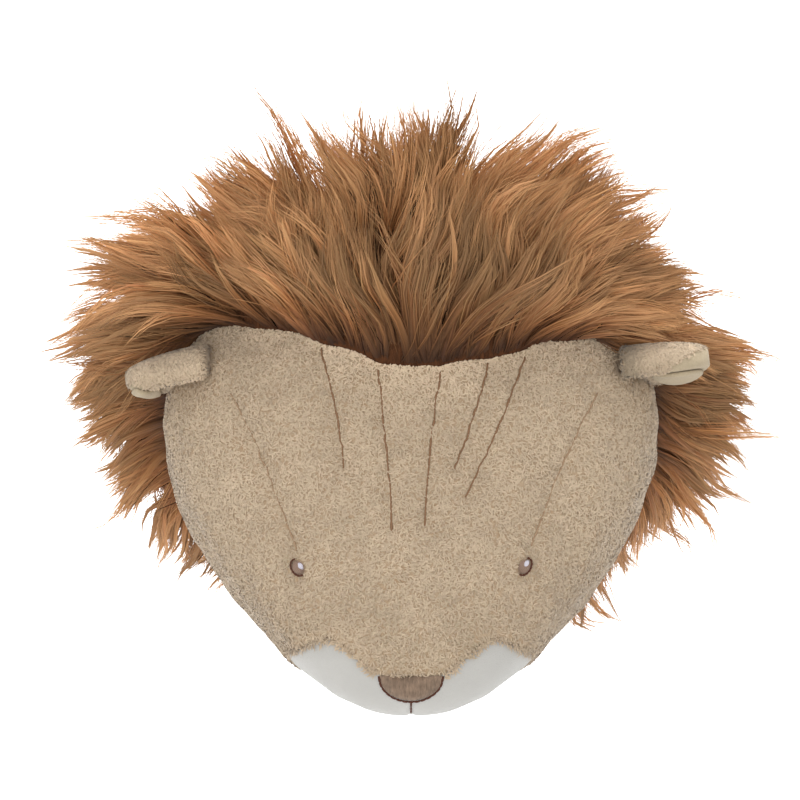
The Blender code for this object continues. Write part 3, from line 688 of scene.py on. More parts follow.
class LION_OT_face_pile(bpy.types.Operator):
    """Cover the face with curled terry tufts"""
    bl_idname = "lion_head.face_pile"
    bl_label = "Face pile"

    def execute(self, context):
        terry = sizes("terry")
        rng = np.random.default_rng(terry.seed)
        mesh = bpy.data.objects["face"].data
        roots, normals = sampled(mesh, int(terry.tufts * 1.95), rng)
        hairline = Hairline()
        shown = -roots[:, 1] > hairline.of_places(roots) - 0.001
        roots, normals = roots[shown], normals[shown]
        muzzle = surface_of("muzzle")
        clear = np.ones(len(roots), bool)
        for i in np.nonzero(-roots[:, 1] > MUZZLE_FROM)[0]:
            place, out = Vector(roots[i]), Vector(normals[i])
            clear[i] = muzzle.ray_cast(place + out * 0.016, -out, 0.022)[0] is None
        roots, normals = roots[clear], normals[clear]
        lines = distance_to_lines(roots, [centre_line(n) for n in LINE_NODES])
        eyes = distance_to_lines(roots, [places_of(NODES[n].data) for n in EYE_NODES])
        kept = np.nonzero((lines > 0.0004) & (eyes > 0.0013))[0]
        kept = rng.permutation(kept)[:terry.tufts]
        roots, normals, lines, eyes = roots[kept], normals[kept], lines[kept], eyes[kept]
        scale = np.clip(0.36 + lines / 0.006, 0, 1) * np.clip(0.45 + eyes / 0.006, 0, 1)
        # Painted shade: darker in the tucks, on the outer side of the eyes and over the lower face, which
        # faces the light more; painted light along the hairline, where the hair's shadow falls
        outer = np.clip(np.abs(roots[:, 0]) / 0.056 - 0.9, 0, 0.2) * 5
        by_hair = np.clip(1 - (-roots[:, 1] - hairline.of_places(roots)) / 0.028, 0, 1)
        shade = (0.16 * hill(lines, 0, 0.0017) + 0.34 * hill(eyes, 0, 0.0040) * outer
                 - 0.48 * by_hair ** 1.5 + 0.11 * np.clip((-roots[:, 1] - MUZZLE_FROM) / 0.06, 0, 1))
        lean = self.towards_muzzle(roots)
        over = self.over_the_edge(roots, rng)
        roots, normals, lean = (np.concatenate(both) for both in zip((roots, normals, lean), over))
        # The tufts that hang over the muzzle and the nose get the lower face's painted shade as well
        more = np.ones(len(roots) - len(scale))
        scale, shade = np.append(scale, more * 0.9), np.append(shade, more * 0.1)
        for name, part in dealt("face_pile", 2):
            made = tufts(name, roots[part], normals[part], scale[part], rng, terry, lean[part], shade[part])
            add_piece(made, terry_materials()[1])
        return {"FINISHED"}

    @staticmethod
    def towards_muzzle(roots, reach=0.0035):
        """The way that the tufts close to the muzzle's seam lie, so that they hang over it."""
        muzzle = surface_of("muzzle_cover")
        lean = np.zeros((len(roots), 3))
        for i in np.nonzero(-roots[:, 1] > MUZZLE_FROM)[0]:
            place = Vector(roots[i])
            hit = muzzle.find_nearest(place, reach)[0]
            if hit is not None:
                way = hit - place + Vector((0, 0, -0.0006))
                lean[i] = way.normalized() * 2.5
        return lean

    @staticmethod
    def over_the_edge(roots, rng):
        """Places, normals and ways to lie for tufts that hang over the edges of the muzzle and the nose."""
        near = roots[-roots[:, 1] > MUZZLE_FROM]
        tree = KDTree(len(near))
        for i, place in enumerate(near):
            tree.insert(place, i)
        tree.balance()
        pad = surface_of("nose_pad")
        found = []
        for name, count, reach in (("muzzle_cover", 110000, 0.0024), ("nose_pad", 16000, 0.0011)):
            places, normals = sampled(bpy.data.objects[name].data, count, rng)
            nearest, _, gaps = (np.array(part) for part in zip(*(tree.find(p) for p in places)))
            above = normals @ OUT_OF_FACE > 0.15
            close = (gaps < reach * rng.random(count) ** 0.8) & above
            if name == "nose_pad":
                close &= np.abs(places[:, 0]) < 0.010
            else:
                for i in np.nonzero(close)[0]:
                    close[i] = pad.find_nearest(Vector(places[i]), 0.0016)[0] is None
            lifted = places + normals * 0.0007
            found.append((lifted[close], normals[close], unit(places - nearest)[close] * 1.8))
        return (np.concatenate(parts) for parts in zip(*found))


class LION_OT_ears(bpy.types.Operator):
    """Make the terry ears with their cream linings"""
    bl_idname = "lion_head.ears"
    bl_label = "Ears"
    # How far from the head's middle an ear starts, and where its smooth velour starts to widen
    root, velour_start, velour_run = 0.110, 0.122, 0.028

    def execute(self, context):
        terry, trim = sizes("terry"), sizes("trim")
        rng = np.random.default_rng(terry.seed + 1)
        velour = pile_material("ear lining", trim.lining)
        ground, fibres = terry_materials()
        # How far from its lining each ear is smooth velour, near the head and at its end, and how much
        # painted shade darkens its tufts where it meets the head
        for side, near, far, root_shade in (("left", 0.0020, 0.0042, 0.0), ("right", 0.0012, 0.0120, 0.6)):
            ear, lining = f"ear_{side}", f"ear_lining_{side}"
            mesh = even_mesh(ear + "_cover", [ear], voxel=0.0012, passes=5)
            facing = surface_of(lining)

            def smooth(place):
                along = min(1.0, max(0.0, (abs(place[0]) - self.velour_start) / self.velour_run))
                return facing.find_nearest(Vector(place), near + (far - near) * along)[0] is not None

            add_piece(mesh, ground, (ear,))
            mesh.materials.append(velour)
            for polygon in mesh.polygons:
                polygon.material_index = int(smooth(polygon.center))
            inside = even_mesh(lining + "_cover", [lining], voxel=0.0006, passes=4)
            set_places(inside, places_of(inside) + normals_of(inside) * 0.0007)
            add_piece(inside, velour, (lining,))
            roots, normals = sampled(mesh, int(terry.ear_tufts * 1.5), rng)
            tufted = np.array([not smooth(p) for p in roots])
            roots, normals = roots[tufted][:terry.ear_tufts], normals[tufted][:terry.ear_tufts]
            # Painted shade: darker where the ear meets the head, and the right ear a little darker all over
            shade = root_shade * hill(np.abs(roots[:, 0]), self.root, 0.005) + (side == "right") * 0.06
            scale = np.full(len(roots), 0.85)
            made = tufts(f"ear_pile_{side}", roots, normals, scale, rng, terry, shade=shade)
            add_piece(made, fibres)
        return {"FINISHED"}


# The mane

class HairBed:
    """The band of skin that carries the hair, as places and normals at angles and shares of its depth."""

    def __init__(self, hairline, columns=120, rows=24):
        self.columns, self.rows = columns, rows
        self.places = np.empty((columns, rows, 3))
        self.normals = np.empty((columns, rows, 3))
        self.hairline = hairline
        for i in range(columns):
            turn = 2 * math.pi * i / columns
            way = Vector((math.cos(turn), 0, math.sin(turn)))
            last = float(hairline.depth(np.array([math.degrees(turn)]))[0]) + 0.001
            for j in range(rows):
                depth = BACK_OF_HAIR + (last - BACK_OF_HAIR) * j / (rows - 1)
                inside = Vector((0, -max(depth, 0.0135), MANE_MIDDLE))
                hit, normal, _, _ = hairline.head.ray_cast(inside, way)
                if hit is None:
                    raise RuntimeError("the hair's band misses the head")
                if normal.dot(way) < 0:
                    normal = -normal
                self.places[i, j] = (hit.x, -depth, hit.z)
                self.normals[i, j] = normal
        for _ in range(3):
            self.normals = unit(self.normals + np.roll(self.normals, 1, 0) + np.roll(self.normals, -1, 0))

    def at(self, turns, shares):
        """Places and normals at turns, from 0 to 1 round the mane, and at shares, 1 at the hairline."""
        x = (turns % 1) * self.columns
        y = np.clip(shares, 0, 0.99999) * (self.rows - 1)
        i, j = x.astype(int) % self.columns, y.astype(int)
        fx, fy = (x - np.floor(x))[:, None], (y - j)[:, None]
        k = (i + 1) % self.columns

        def mixed(grid):
            return ((grid[i, j] * (1 - fx) + grid[k, j] * fx) * (1 - fy)
                    + (grid[i, j + 1] * (1 - fx) + grid[k, j + 1] * fx) * fy)

        return mixed(self.places), unit(mixed(self.normals))

    def areas(self):
        """The area that each cell of the band covers."""
        around = np.linalg.norm(np.roll(self.places, -1, 0) - self.places, axis=2)[:, :-1]
        deep = np.linalg.norm(self.places[:, 1:] - self.places[:, :-1], axis=2)
        return around * deep


def curve_through(p0, p1, p2, p3, v):
    """Places at shares v along cubic curves with those control points."""
    v = v[..., None]
    p0, p1, p2, p3 = (p[:, None] for p in (p0, p1, p2, p3))
    return (1 - v) ** 3 * p0 + 3 * (1 - v) ** 2 * v * p1 + 3 * (1 - v) * v ** 2 * p2 + v ** 3 * p3


def scattered(bed, count, rng):
    """Turns and shares of random places on the band: more by the face, and a dense row at the hairline."""
    areas = bed.areas()
    row = np.arange(bed.rows - 1)
    density = 0.8 + 0.6 * np.sin(np.linspace(0.2, 2.6, bed.rows - 1)) + 1.5 * (row > bed.rows - 4)
    weights = areas * density[None]
    i, j = np.unravel_index(rng.choice(areas.size, count, p=(weights / weights.sum()).ravel()), areas.shape)
    return (i + rng.random(count)) / bed.columns, (j + rng.random(count)) / (bed.rows - 1)


def beside(turn, share_of, distance, rng):
    """Turns and shares of places that lie at random beside the given ones, by about that distance."""
    turn = turn + rng.normal(0, 1, len(turn)) * distance / ROUND_THE_MANE
    return turn, np.clip(share_of + rng.normal(0, 1, len(turn)) * distance / DEPTH_OF_HAIR, 0, 1)


class Locks:
    """The mane's locks, which fall into clumps: where each starts, the curve that it follows and its tone."""

    def __init__(self, bed, mane, rng):
        count, clumps = mane.locks, mane.clumps
        self.turn, self.share = scattered(bed, count, rng)
        self.start, normal = bed.at(self.turn, self.share)
        turn, share_of = scattered(bed, clumps, rng)
        middle, _ = bed.at(turn, share_of)
        gaps = np.linalg.norm(self.start[:, None] - middle[None], axis=2)
        clump, edge = gaps.argmin(1), np.clip(gaps.min(1) / (mane.clump_width / 2), 0, 1.3)
        lean, reach = mane.tousle * rng.normal(size=clumps), rng.uniform(0.89, 1.06, clumps)
        clump_tip = self.tips(mane, turn, share_of, middle, lean, reach)[0]
        # A wisp leans more than its clump's other locks, differs more in length and hardly joins them
        self.wisp = rng.random(count) < mane.wisps
        own = lean[clump] + mane.tousle * rng.normal(size=count) * np.where(self.wisp, 1.25, 0.6)
        long = reach[clump] * np.where(self.wisp, rng.uniform(0.75, 1.24, count),
                                       rng.uniform(0.84, 1.0, count))
        tip, way, self.length = self.tips(mane, self.turn, self.share, self.start, own, long)
        meet = mane.clumping * rng.uniform(0.7, 1.2, count) * np.where(self.wisp, 0.1, 1.0)
        tip += (clump_tip[clump] - tip) * meet[:, None]
        tip[:, 1] = np.minimum(tip[:, 1] + rng.normal(0, 0.004, count), -0.004)
        sag = np.array([0, 0, -1.0]) * (self.length * 0.07 * (1 - way[:, 2] ** 2))[:, None]
        lifted = upward(self.turn)[:, None] * np.array([0, 0, 0.6])
        rise = unit(normal * np.array([0.9, 0.35, 0.9]) + way * 0.6 + lifted)
        aside = unit(np.cross(way, np.array([[0, -1.0, 0]])))
        sway = aside * (self.length * rng.normal(0, 1, (2, count)))[..., None]
        height = rng.normal(0, 0.045, clumps)[clump] + rng.normal(0, 0.03, count) - 0.06 * edge
        height += 0.04 * waves(self.start, 0.055, mane.seed + 5)
        # Hollows between the clumps, most of them near the face: the hair in them lies lower and gets painted
        # shade
        hollow = np.clip(waves(self.start, 0.016, mane.seed + 9) - 0.35, 0, 1) * (0.35 + 0.65 * self.share)
        height -= 0.06 * hollow
        height = np.where(self.wisp, np.abs(height) + 0.02, height)
        lift = normal * (self.length * height)[:, None]
        # The curve's two inner points lie about a third of its length from its ends
        self.control = (self.start, self.start + rise * self.length[:, None] * 0.32 + sway[0] * 0.04 + lift,
                        tip - (tip - self.start) * 0.32 - sag * 0.5 + sway[1] * 0.10 + lift, tip + sag)
        self.way, self.aside = way, aside
        self.width = rng.uniform(0.6, 1.4, count) * np.where(self.wisp, 0.3, 1.0)
        # Painted shade along the middle of the top: in a narrow valley, and in a wide one near the face
        valley = [hill(self.start[:, 0], 0.008, wide) * (way[:, 2] > 0.6) for wide in (0.008, 0.04)]
        # Each lock's tone: random for it and its clump, with painted light on the locks that stand higher and
        # painted shade on a clump's edges and in its hollows and valleys; darker still right by the hairline
        self.tone = (0.08 * rng.normal(size=count) + 0.09 * rng.normal(size=clumps)[clump] + 1.6 * height
                     - 0.30 * hollow - 0.18 * edge - 0.12 * valley[0] - 0.24 * valley[1] * self.share
                     - 0.08 * self.share ** 6 + 0.19)

    @staticmethod
    def tips(mane, turn, share_of, start, lean, reach):
        """Where locks from those places end, the way that they point and how long they are."""
        degrees = turn * 360
        heading = (degrees + 90) % 360 - 90
        heading += mane.droop * (by_angle(HAIR_WAY, degrees) - heading)
        # Over the forehead the hair in front stands steeper, and over the left ear it falls
        angle = turn * 2 * math.pi
        above = np.clip((np.sin(angle) - 0.50) / 0.15, 0, 1) * share_of
        heading = 90 + (heading - 90) * (1 - 0.68 * above)
        heading += 26 * hill(degrees, 161, 7) * share_of ** 2
        round_mane = np.stack([np.cos(angle), np.sin(angle), share_of * 0.6], axis=1)
        heading = np.radians(heading + 8 * waves(round_mane, 0.8, mane.seed + 1) + lean)
        way = np.stack([np.cos(heading), np.zeros(len(turn)), np.sin(heading)], axis=1)
        # The hair nearer the face is shorter, so that the dark roots behind it, partly painted shade, show
        # between its points
        size = by_angle(HAIR_LENGTH, degrees) * reach
        size *= 1 - (0.20 + 0.20 * upward(turn)) * share_of
        tip = start + way * size[:, None]
        gap = (start[:, 0] - 0.006) / 0.03
        tip[:, 0] += np.sign(gap) * np.exp(-gap ** 2) * np.clip(way[:, 2], 0, 1) ** 2 * mane.parting
        # The hair lies back towards the wall, but falls over the tops of the ears
        ears = 0.85 * hill(degrees, 152, 12) + 0.3 * hill(degrees, 27, 12)
        tip[:, 1] = start[:, 1] * (0.60 + 0.26 * share_of + ears * share_of ** 3)
        return tip, way, size


class Tresses:
    """The tresses that each lock splits into. They bend on their own and meet near the lock's point."""

    def __init__(self, bed, locks, mane, rng):
        count = mane.locks * mane.tresses
        self.locks, self.wave, self.seed = locks, mane.wave, mane.seed
        self.lock = np.repeat(np.arange(mane.locks), mane.tresses)
        spread = mane.lock_width / 2 * locks.width[self.lock]
        self.turn, self.share = beside(locks.turn[self.lock], locks.share[self.lock], spread, rng)
        self.root, self.normal = bed.at(self.turn, self.share)
        self.offset = self.root - locks.start[self.lock]
        self.gather = np.clip(mane.gather * rng.uniform(0.65, 1.05, count), 0, 1)
        self.reach = rng.uniform(0.74, 1.0, count)
        self.bend = (locks.aside[self.lock] * rng.normal(0, 0.0038, (count, 1))
                     + rng.normal(0, 0.0018, (count, 3)))
        self.phase, self.turns = rng.uniform(0, 2 * math.pi, count), rng.uniform(0.3, 0.85, count)
        self.upper = upward(self.turn) * (1 - self.share)
        # Painted light: the hair of the back rows at the top is made lighter
        self.tone = locks.tone[self.lock] + 0.06 * rng.normal(size=count) + 0.14 * self.upper
        self.outward = unit(self.normal * 0.5 + OUT_OF_MANE)

    def follow(self, which, v):
        """Paths of those tresses, at the shares v of the way to their locks' points."""
        lock = self.lock[which]
        path = curve_through(*(p[lock] for p in self.locks.control), v)
        pull = np.clip(v, 0, 1) ** 0.85 * self.gather[which][:, None]
        path += self.offset[which][:, None] * (1 - pull)[..., None]
        swing = np.sin(self.phase[which][:, None] + 2 * math.pi * self.turns[which][:, None] * v)
        path += self.bend[which][:, None] * (swing * np.clip(v * 2, 0, 1) * (1 - 0.7 * v ** 2))[..., None]
        return path

    def drift(self, path, which, v):
        """Lets neighbouring hair wave together, more towards its ends."""
        flat = path.reshape(-1, 3)
        aside = self.locks.aside[self.lock[which]][:, None]
        for way, seed in ((aside, 31), (self.normal[which][:, None] * 0.5, 41)):
            moved = waves(flat, 0.055, self.seed + seed).reshape(v.shape)
            path = path + way * (moved * self.wave * np.clip(v, 0, 1) ** 1.2)[..., None]
        path[:, :, 1] = np.minimum(path[:, :, 1], -0.001)
        return path


def tress_mesh(tresses, mane, rng, steps=8):
    """A slim arched leaf for each tress, which its hairs lie round."""
    count = len(tresses.lock)
    which = np.arange(count)
    v = np.linspace(0, 1, steps)[None] * (tresses.reach * 0.95)[:, None]
    path = tresses.drift(tresses.follow(which, v), which, v) - tresses.outward[:, None] * 0.0007
    path = within_box(path, room=0.016)
    tangent = unit(np.gradient(path, axis=1))
    out = tresses.outward[:, None] + 0.25 * rng.normal(size=(count, 1, 3))
    side = unit(np.cross(tangent, out))
    out = np.cross(side, tangent)
    profile = np.interp(np.linspace(0, 1, steps), (0, 0.15, 0.35, 0.6, 0.8, 1),
                        (0.5, 0.9, 1.0, 0.78, 0.42, 0))
    wide = mane.tress_width * tresses.locks.width[tresses.lock] * rng.uniform(0.7, 1.3, count)
    half = side * (wide[:, None] / 2 * profile[None])[..., None]
    ridge = path + out * (wide[:, None] * 0.28 * profile[None])[..., None]
    tone = columns(0.44 + tresses.tone)
    left = np.concatenate([path - half, ridge])[:, :-1]
    right = np.concatenate([ridge, path + half])[:, :-1]
    edge = [unit(out * 0.8 + side * s)[:, :-1] for s in (-0.6, 0.6)]
    top = out[:, :-1]
    normals = (np.concatenate([edge[0], top]), np.concatenate([top, edge[1]]),
               np.concatenate([out[:, -1]] * 2))
    tips, tones = np.concatenate([path[:, -1]] * 2), np.concatenate([tone] * 2)
    return fibre_mesh("mane_tresses", left, right, tips, tones, normals)


def hair_paths(bed, tresses, mane, rng, steps=6):
    """The hairs' paths, where each looks, its widths, its tone and the way the mane's surface faces."""
    count, locks = mane.hairs, tresses.locks
    weights = np.where(locks.wisp[tresses.lock], 0.4, 1.0) * (1 + 0.9 * tresses.upper)
    tress = np.sort(rng.choice(len(weights), count, p=weights / weights.sum()))
    lock = tresses.lock[tress]
    near = 0.0015 * np.sqrt(locks.width[lock])
    turn, share_at = beside(tresses.turn[tress], tresses.share[tress], near, rng)
    root, normal = bed.at(turn, share_at)
    stray = (rng.random(count) < mane.stray) & (share_at < 0.85)
    reach = tresses.reach[tress] * (1.04 - 0.36 * rng.random(count) ** 1.5)
    v = np.linspace(0, 1, steps)[None] * reach[:, None]
    path = tresses.follow(tress, v)
    pull = np.clip(v, 0, 1) ** 0.85
    # The hair at the top of the back rows is looser, so that its outline is soft
    loose = tresses.upper[tress]
    held = np.clip(0.74 - 0.30 * loose + rng.normal(0, 0.15, count), 0.1, 1)
    gather = np.where(stray, rng.uniform(-0.8, 0.3, count), held)
    path += (root - tresses.root[tress])[:, None] * (1 - pull * gather[:, None])[..., None]
    # Each hair's own bow, so that a tress is round and not flat
    own = rng.normal(size=(count, 3))
    own -= locks.way[lock] * (own * locks.way[lock]).sum(1, keepdims=True)
    astray = np.where(stray, 0.008, 0.0005 + 0.0035 * loose)[:, None]
    path += own[:, None] * (np.sin(math.pi * np.clip(v, 0, 1)) * 0.0013 + v * astray)[..., None]
    path = tresses.drift(path, tress, v)
    outward = unit(normal * 0.5 + OUT_OF_MANE)
    facing = unit(outward + 0.5 * rng.normal(size=(count, 3)))
    taper = np.array([0.75, 1.0, 1.0, 0.86, 0.55, 0.0])[None]
    widths = mane.hair_width * rng.uniform(0.65, 1.35, (count, 1)) * taper
    tone = columns(0.5 + tresses.tone[tress] + 0.10 * rng.normal(size=count))
    return path, facing, widths, tone, outward


def within_box(path, room, ease=0.012):
    """Holds hairs inside the frame's box and a little room round it, bending them over the length ease."""
    low = np.array(CAD_BOX[0]) - room
    high = np.array(CAD_BOX[1]) + room
    low[1], high[1] = CAD_BOX[0][1], -0.001
    path = path.copy()
    for axis in (0, 2):
        over = path[..., axis] - (high[axis] - ease)
        path[..., axis] -= np.where(over > 0, over - ease * np.tanh(over / ease), 0)
        under = low[axis] + ease - path[..., axis]
        path[..., axis] += np.where(under > 0, under - ease * np.tanh(under / ease), 0)
    return np.clip(path, low, high)


def undercoat_mesh(bed):
    """A soft dark ring under the hair, which closes it from the front, the sides and the back."""
    rings = []
    for i in range(0, bed.columns, 2):
        turn = i / bed.columns * 360
        way = unit(np.array([bed.places[i, -1, 0], 0, bed.places[i, -1, 2]]))
        way = way + np.array([0, 0, -0.45 * (0.5 - 0.5 * way[2])])
        reach = float(by_angle(HAIR_LENGTH, np.array([turn]))[0])
        back, front = bed.places[i, 1], bed.places[i, -1]
        row = [back - way * 0.001, back + way * reach * 0.28]
        for k, out in ((0.30, 0.30), (0.65, 0.22), (0.9, 0.10)):
            j = int(k * (bed.rows - 1))
            row.append(bed.places[i, j] + way * reach * out)
        row.append(front + bed.normals[i, -1] * 0.001)
        row.append(front - bed.normals[i, -1] * 0.003)
        rings.append([Vector(p) for p in row])
    bm = bmesh.new()
    rows = [[bm.verts.new(p) for p in ring] for ring in rings]
    bridge(bm, rows + rows[:1])
    bmesh.ops.recalc_face_normals(bm, faces=bm.faces)
    bmesh.ops.subdivide_edges(bm, edges=bm.edges, cuts=1, use_grid_fill=True, smooth=0.5)
    for v in bm.verts:
        v.co.y = min(v.co.y, -0.0015)
    return mesh_from(bm, "mane_undercoat")


class LION_OT_mane(bpy.types.Operator):
    """Make the long-haired mane: a dark undercoat, tresses, and hairs gathered into them"""
    bl_idname = "lion_head.mane"
    bl_label = "Mane"

    def execute(self, context):
        mane = sizes("mane")
        rng = np.random.default_rng(mane.seed)
        bed = HairBed(Hairline())
        # The undercoat is a dark sheet in the root colour under the hair: partly painted shade of the mane's
        # depths
        under = pile_material("mane undercoat", mane.root)
        add_piece(undercoat_mesh(bed), under, ("mane",))
        tresses = Tresses(bed, Locks(bed, mane, rng), mane, rng)
        fur = cloth_material("mane hair", "Fibre colour", roughness=0.55, sheen=0.05, specular=0.25, values={
            "Root": opaque(mane.root), "Middle": opaque(mane.middle), "Tip": opaque(mane.tip),
            "Root End": 0.64, "Tip Start": 0.5, "Darkest": 0.49, "Lightest": 1.40, "Odd Hue": 0.01,
            "Strands": 0.2})
        add_piece(tress_mesh(tresses, mane, rng), fur)
        path, facing, widths, tone, outward = hair_paths(bed, tresses, mane, rng)
        path = within_box(path, room=0.017)
        for name, part in dealt("mane_hair", 3):
            made = ribbons(name, path[part], facing[part], widths[part], tone[part], outward[part],
                           softness=0.5)
            add_piece(made, fur)
        return {"FINISHED"}


# The muzzle, nose, eyes and stitched lines

class LION_OT_muzzle(bpy.types.Operator):
    """Make the white velour muzzle with its seam under the lip"""
    bl_idname = "lion_head.muzzle"
    bl_label = "Muzzle"

    def execute(self, context):
        trim = sizes("trim")
        mesh = even_mesh("muzzle_cover", ["muzzle"], voxel=0.0013, passes=6)
        places, normals = places_of(mesh), normals_of(mesh)
        lip = centre_line("lip_stitch", 9)
        below = np.clip((lip[0, 2] + 0.002 - places[:, 2]) / 0.006, 0, 1)
        crease = 0.0009 * hill(places[:, 0], 0, 0.0022) * below
        set_places(mesh, places + normals * (0.0004 - crease)[:, None])
        add_piece(mesh, pile_material("muzzle velour", trim.muzzle), ("muzzle",))
        return {"FINISHED"}


def stitch_mesh(name, lines, normals, stitch, width, gap=0.12, lift=0.0, sides=6, fullness=0.5, uneven=0.0):
    """A row of short rounded stitches along each line, each sinking into the cloth at its two ends. The
    lower the fullness, the blunter the ends. uneven is the share by which the stitches' widths differ."""
    bm = bmesh.new()
    rng = np.random.default_rng(7)
    for line, normal in zip(lines, normals):
        steps = np.linalg.norm(np.diff(line, axis=0), axis=1)
        run = np.concatenate([[0], np.cumsum(steps)])
        count = max(1, round(run[-1] / stitch))
        for i in range(count):
            ends = np.linspace((i + gap / 2) / count, (i + 1 - gap / 2) / count, 6) * run[-1]
            middle = np.stack([np.interp(ends, run, line[:, k]) for k in range(3)], axis=1)
            out = unit(np.stack([np.interp(ends, run, normal[:, k]) for k in range(3)], axis=1))
            along = unit(np.gradient(middle, axis=0))
            across = unit(np.cross(along, out))
            swell = np.clip(1 - np.linspace(-0.98, 0.98, 6) ** 2, 0.02, 1) ** fullness
            middle = middle + out * (lift + width * 0.5 * (swell - 0.55))[:, None]
            swell *= 1 + rng.uniform(-uneven, uneven)
            rings = []
            for k in range(6):
                ring = []
                for s in range(sides):
                    a = 2 * math.pi * s / sides
                    offset = (across[k] * math.cos(a) + out[k] * math.sin(a) * 0.8) * width / 2 * swell[k]
                    ring.append(bm.verts.new(middle[k] + offset))
                rings.append(ring)
            bridge(bm, rings)
            bm.faces.new(rings[0][::-1])
            bm.faces.new(rings[-1])
    bmesh.ops.recalc_face_normals(bm, faces=bm.faces)
    return mesh_from(bm, name)


def on_surface(surface, line, lift=0.0):
    """The line laid on a surface, with the outward normals there."""
    places, normals = [], []
    for p in line:
        hit, normal, _, _ = surface.find_nearest(Vector(p))
        places.append(hit + normal * lift)
        normals.append(normal)
    return np.array(places), np.array(normals)


class LION_OT_lines(bpy.types.Operator):
    """Stitch the lines of the forehead and the two darts"""
    bl_idname = "lion_head.lines"
    bl_label = "Stitched lines"

    def execute(self, context):
        trim = sizes("trim")
        face = surface_of("face")
        brow = thread_material("brow thread", trim.brow_thread, 0.8)
        dart = thread_material("dart thread", trim.dart_thread, 0.8)
        for node in LINE_NODES:
            thread, faint = (dart, 0.85) if node.startswith("dart") else (brow, 1.0)
            line, normals = on_surface(face, centre_line(node), 0.0003)
            made = stitch_mesh(node + "_thread", [line], [normals], trim.stitch_length,
                               trim.stitch_width * faint, gap=-0.06, fullness=0.15, uneven=0.35)
            add_piece(made, thread, (node,))
        return {"FINISHED"}


class LION_OT_nose(bpy.types.Operator):
    """Make the nose's velour pad, its dark edging and the stitched line under it"""
    bl_idname = "lion_head.nose"
    bl_label = "Nose"

    def execute(self, context):
        trim = sizes("trim")
        pad = even_mesh("nose_pad", ["nose"], voxel=0.0005, passes=3)
        places = places_of(pad)
        middle = places.mean(0)
        up = np.array(UP_FACE)
        under = np.clip(((places - middle) @ up - 0.001) / 0.002, 0, 1)
        grown = middle + (places - middle) * np.array([1.075, 1.02, 1.075])
        set_places(pad, grown + under[:, None] * up * 0.0014)
        add_piece(pad, pile_material("nose velour", trim.nose), ("nose",))
        muzzle = surface_of("muzzle_cover")
        dark = thread_material("dark thread", trim.dark_thread, 0.6)
        edge = middle + (self.edging() - middle) * 0.985
        ends = [edge[k] + unit(edge[k] - edge[n]) * 0.0016 for k, n in ((0, 4), (-1, -5))]
        edge = np.concatenate([ends[:1], edge, ends[1:]])
        line, normals = on_surface(muzzle, edge, 0.0006)
        made = stitch_mesh("nose_edging_thread", [line], [normals], stitch=0.0030, width=0.0013, gap=-0.06,
                           fullness=0.15)
        add_piece(made, dark, ("nose_edging",))
        line, normals = on_surface(muzzle, centre_line("lip_stitch") * np.array([0, 1, 1]), 0.0004)
        line[:, 0], normals[:, 0] = 0, 0
        line[0] += unit(line[0] - line[2]) * 0.0010
        line, normals = line[:20], normals[:20]
        made = stitch_mesh("lip_stitch_thread", [line], [unit(normals)], stitch=0.0032, width=0.0009,
                           gap=-0.05, fullness=0.2)
        add_piece(made, dark, ("lip_stitch",))
        return {"FINISHED"}

    @staticmethod
    def edging(count=61):
        """The middle line of the edging, from one corner of the nose round to the other."""
        places = places_of(NODES["nose_edging"].data)
        middle = np.array([0, places[:, 1].mean(), places[:, 2].max()])
        up = np.array(UP_FACE)
        return fitted(places, np.arctan2(places[:, 0], -(places - middle) @ up + 0.004), count, 8)


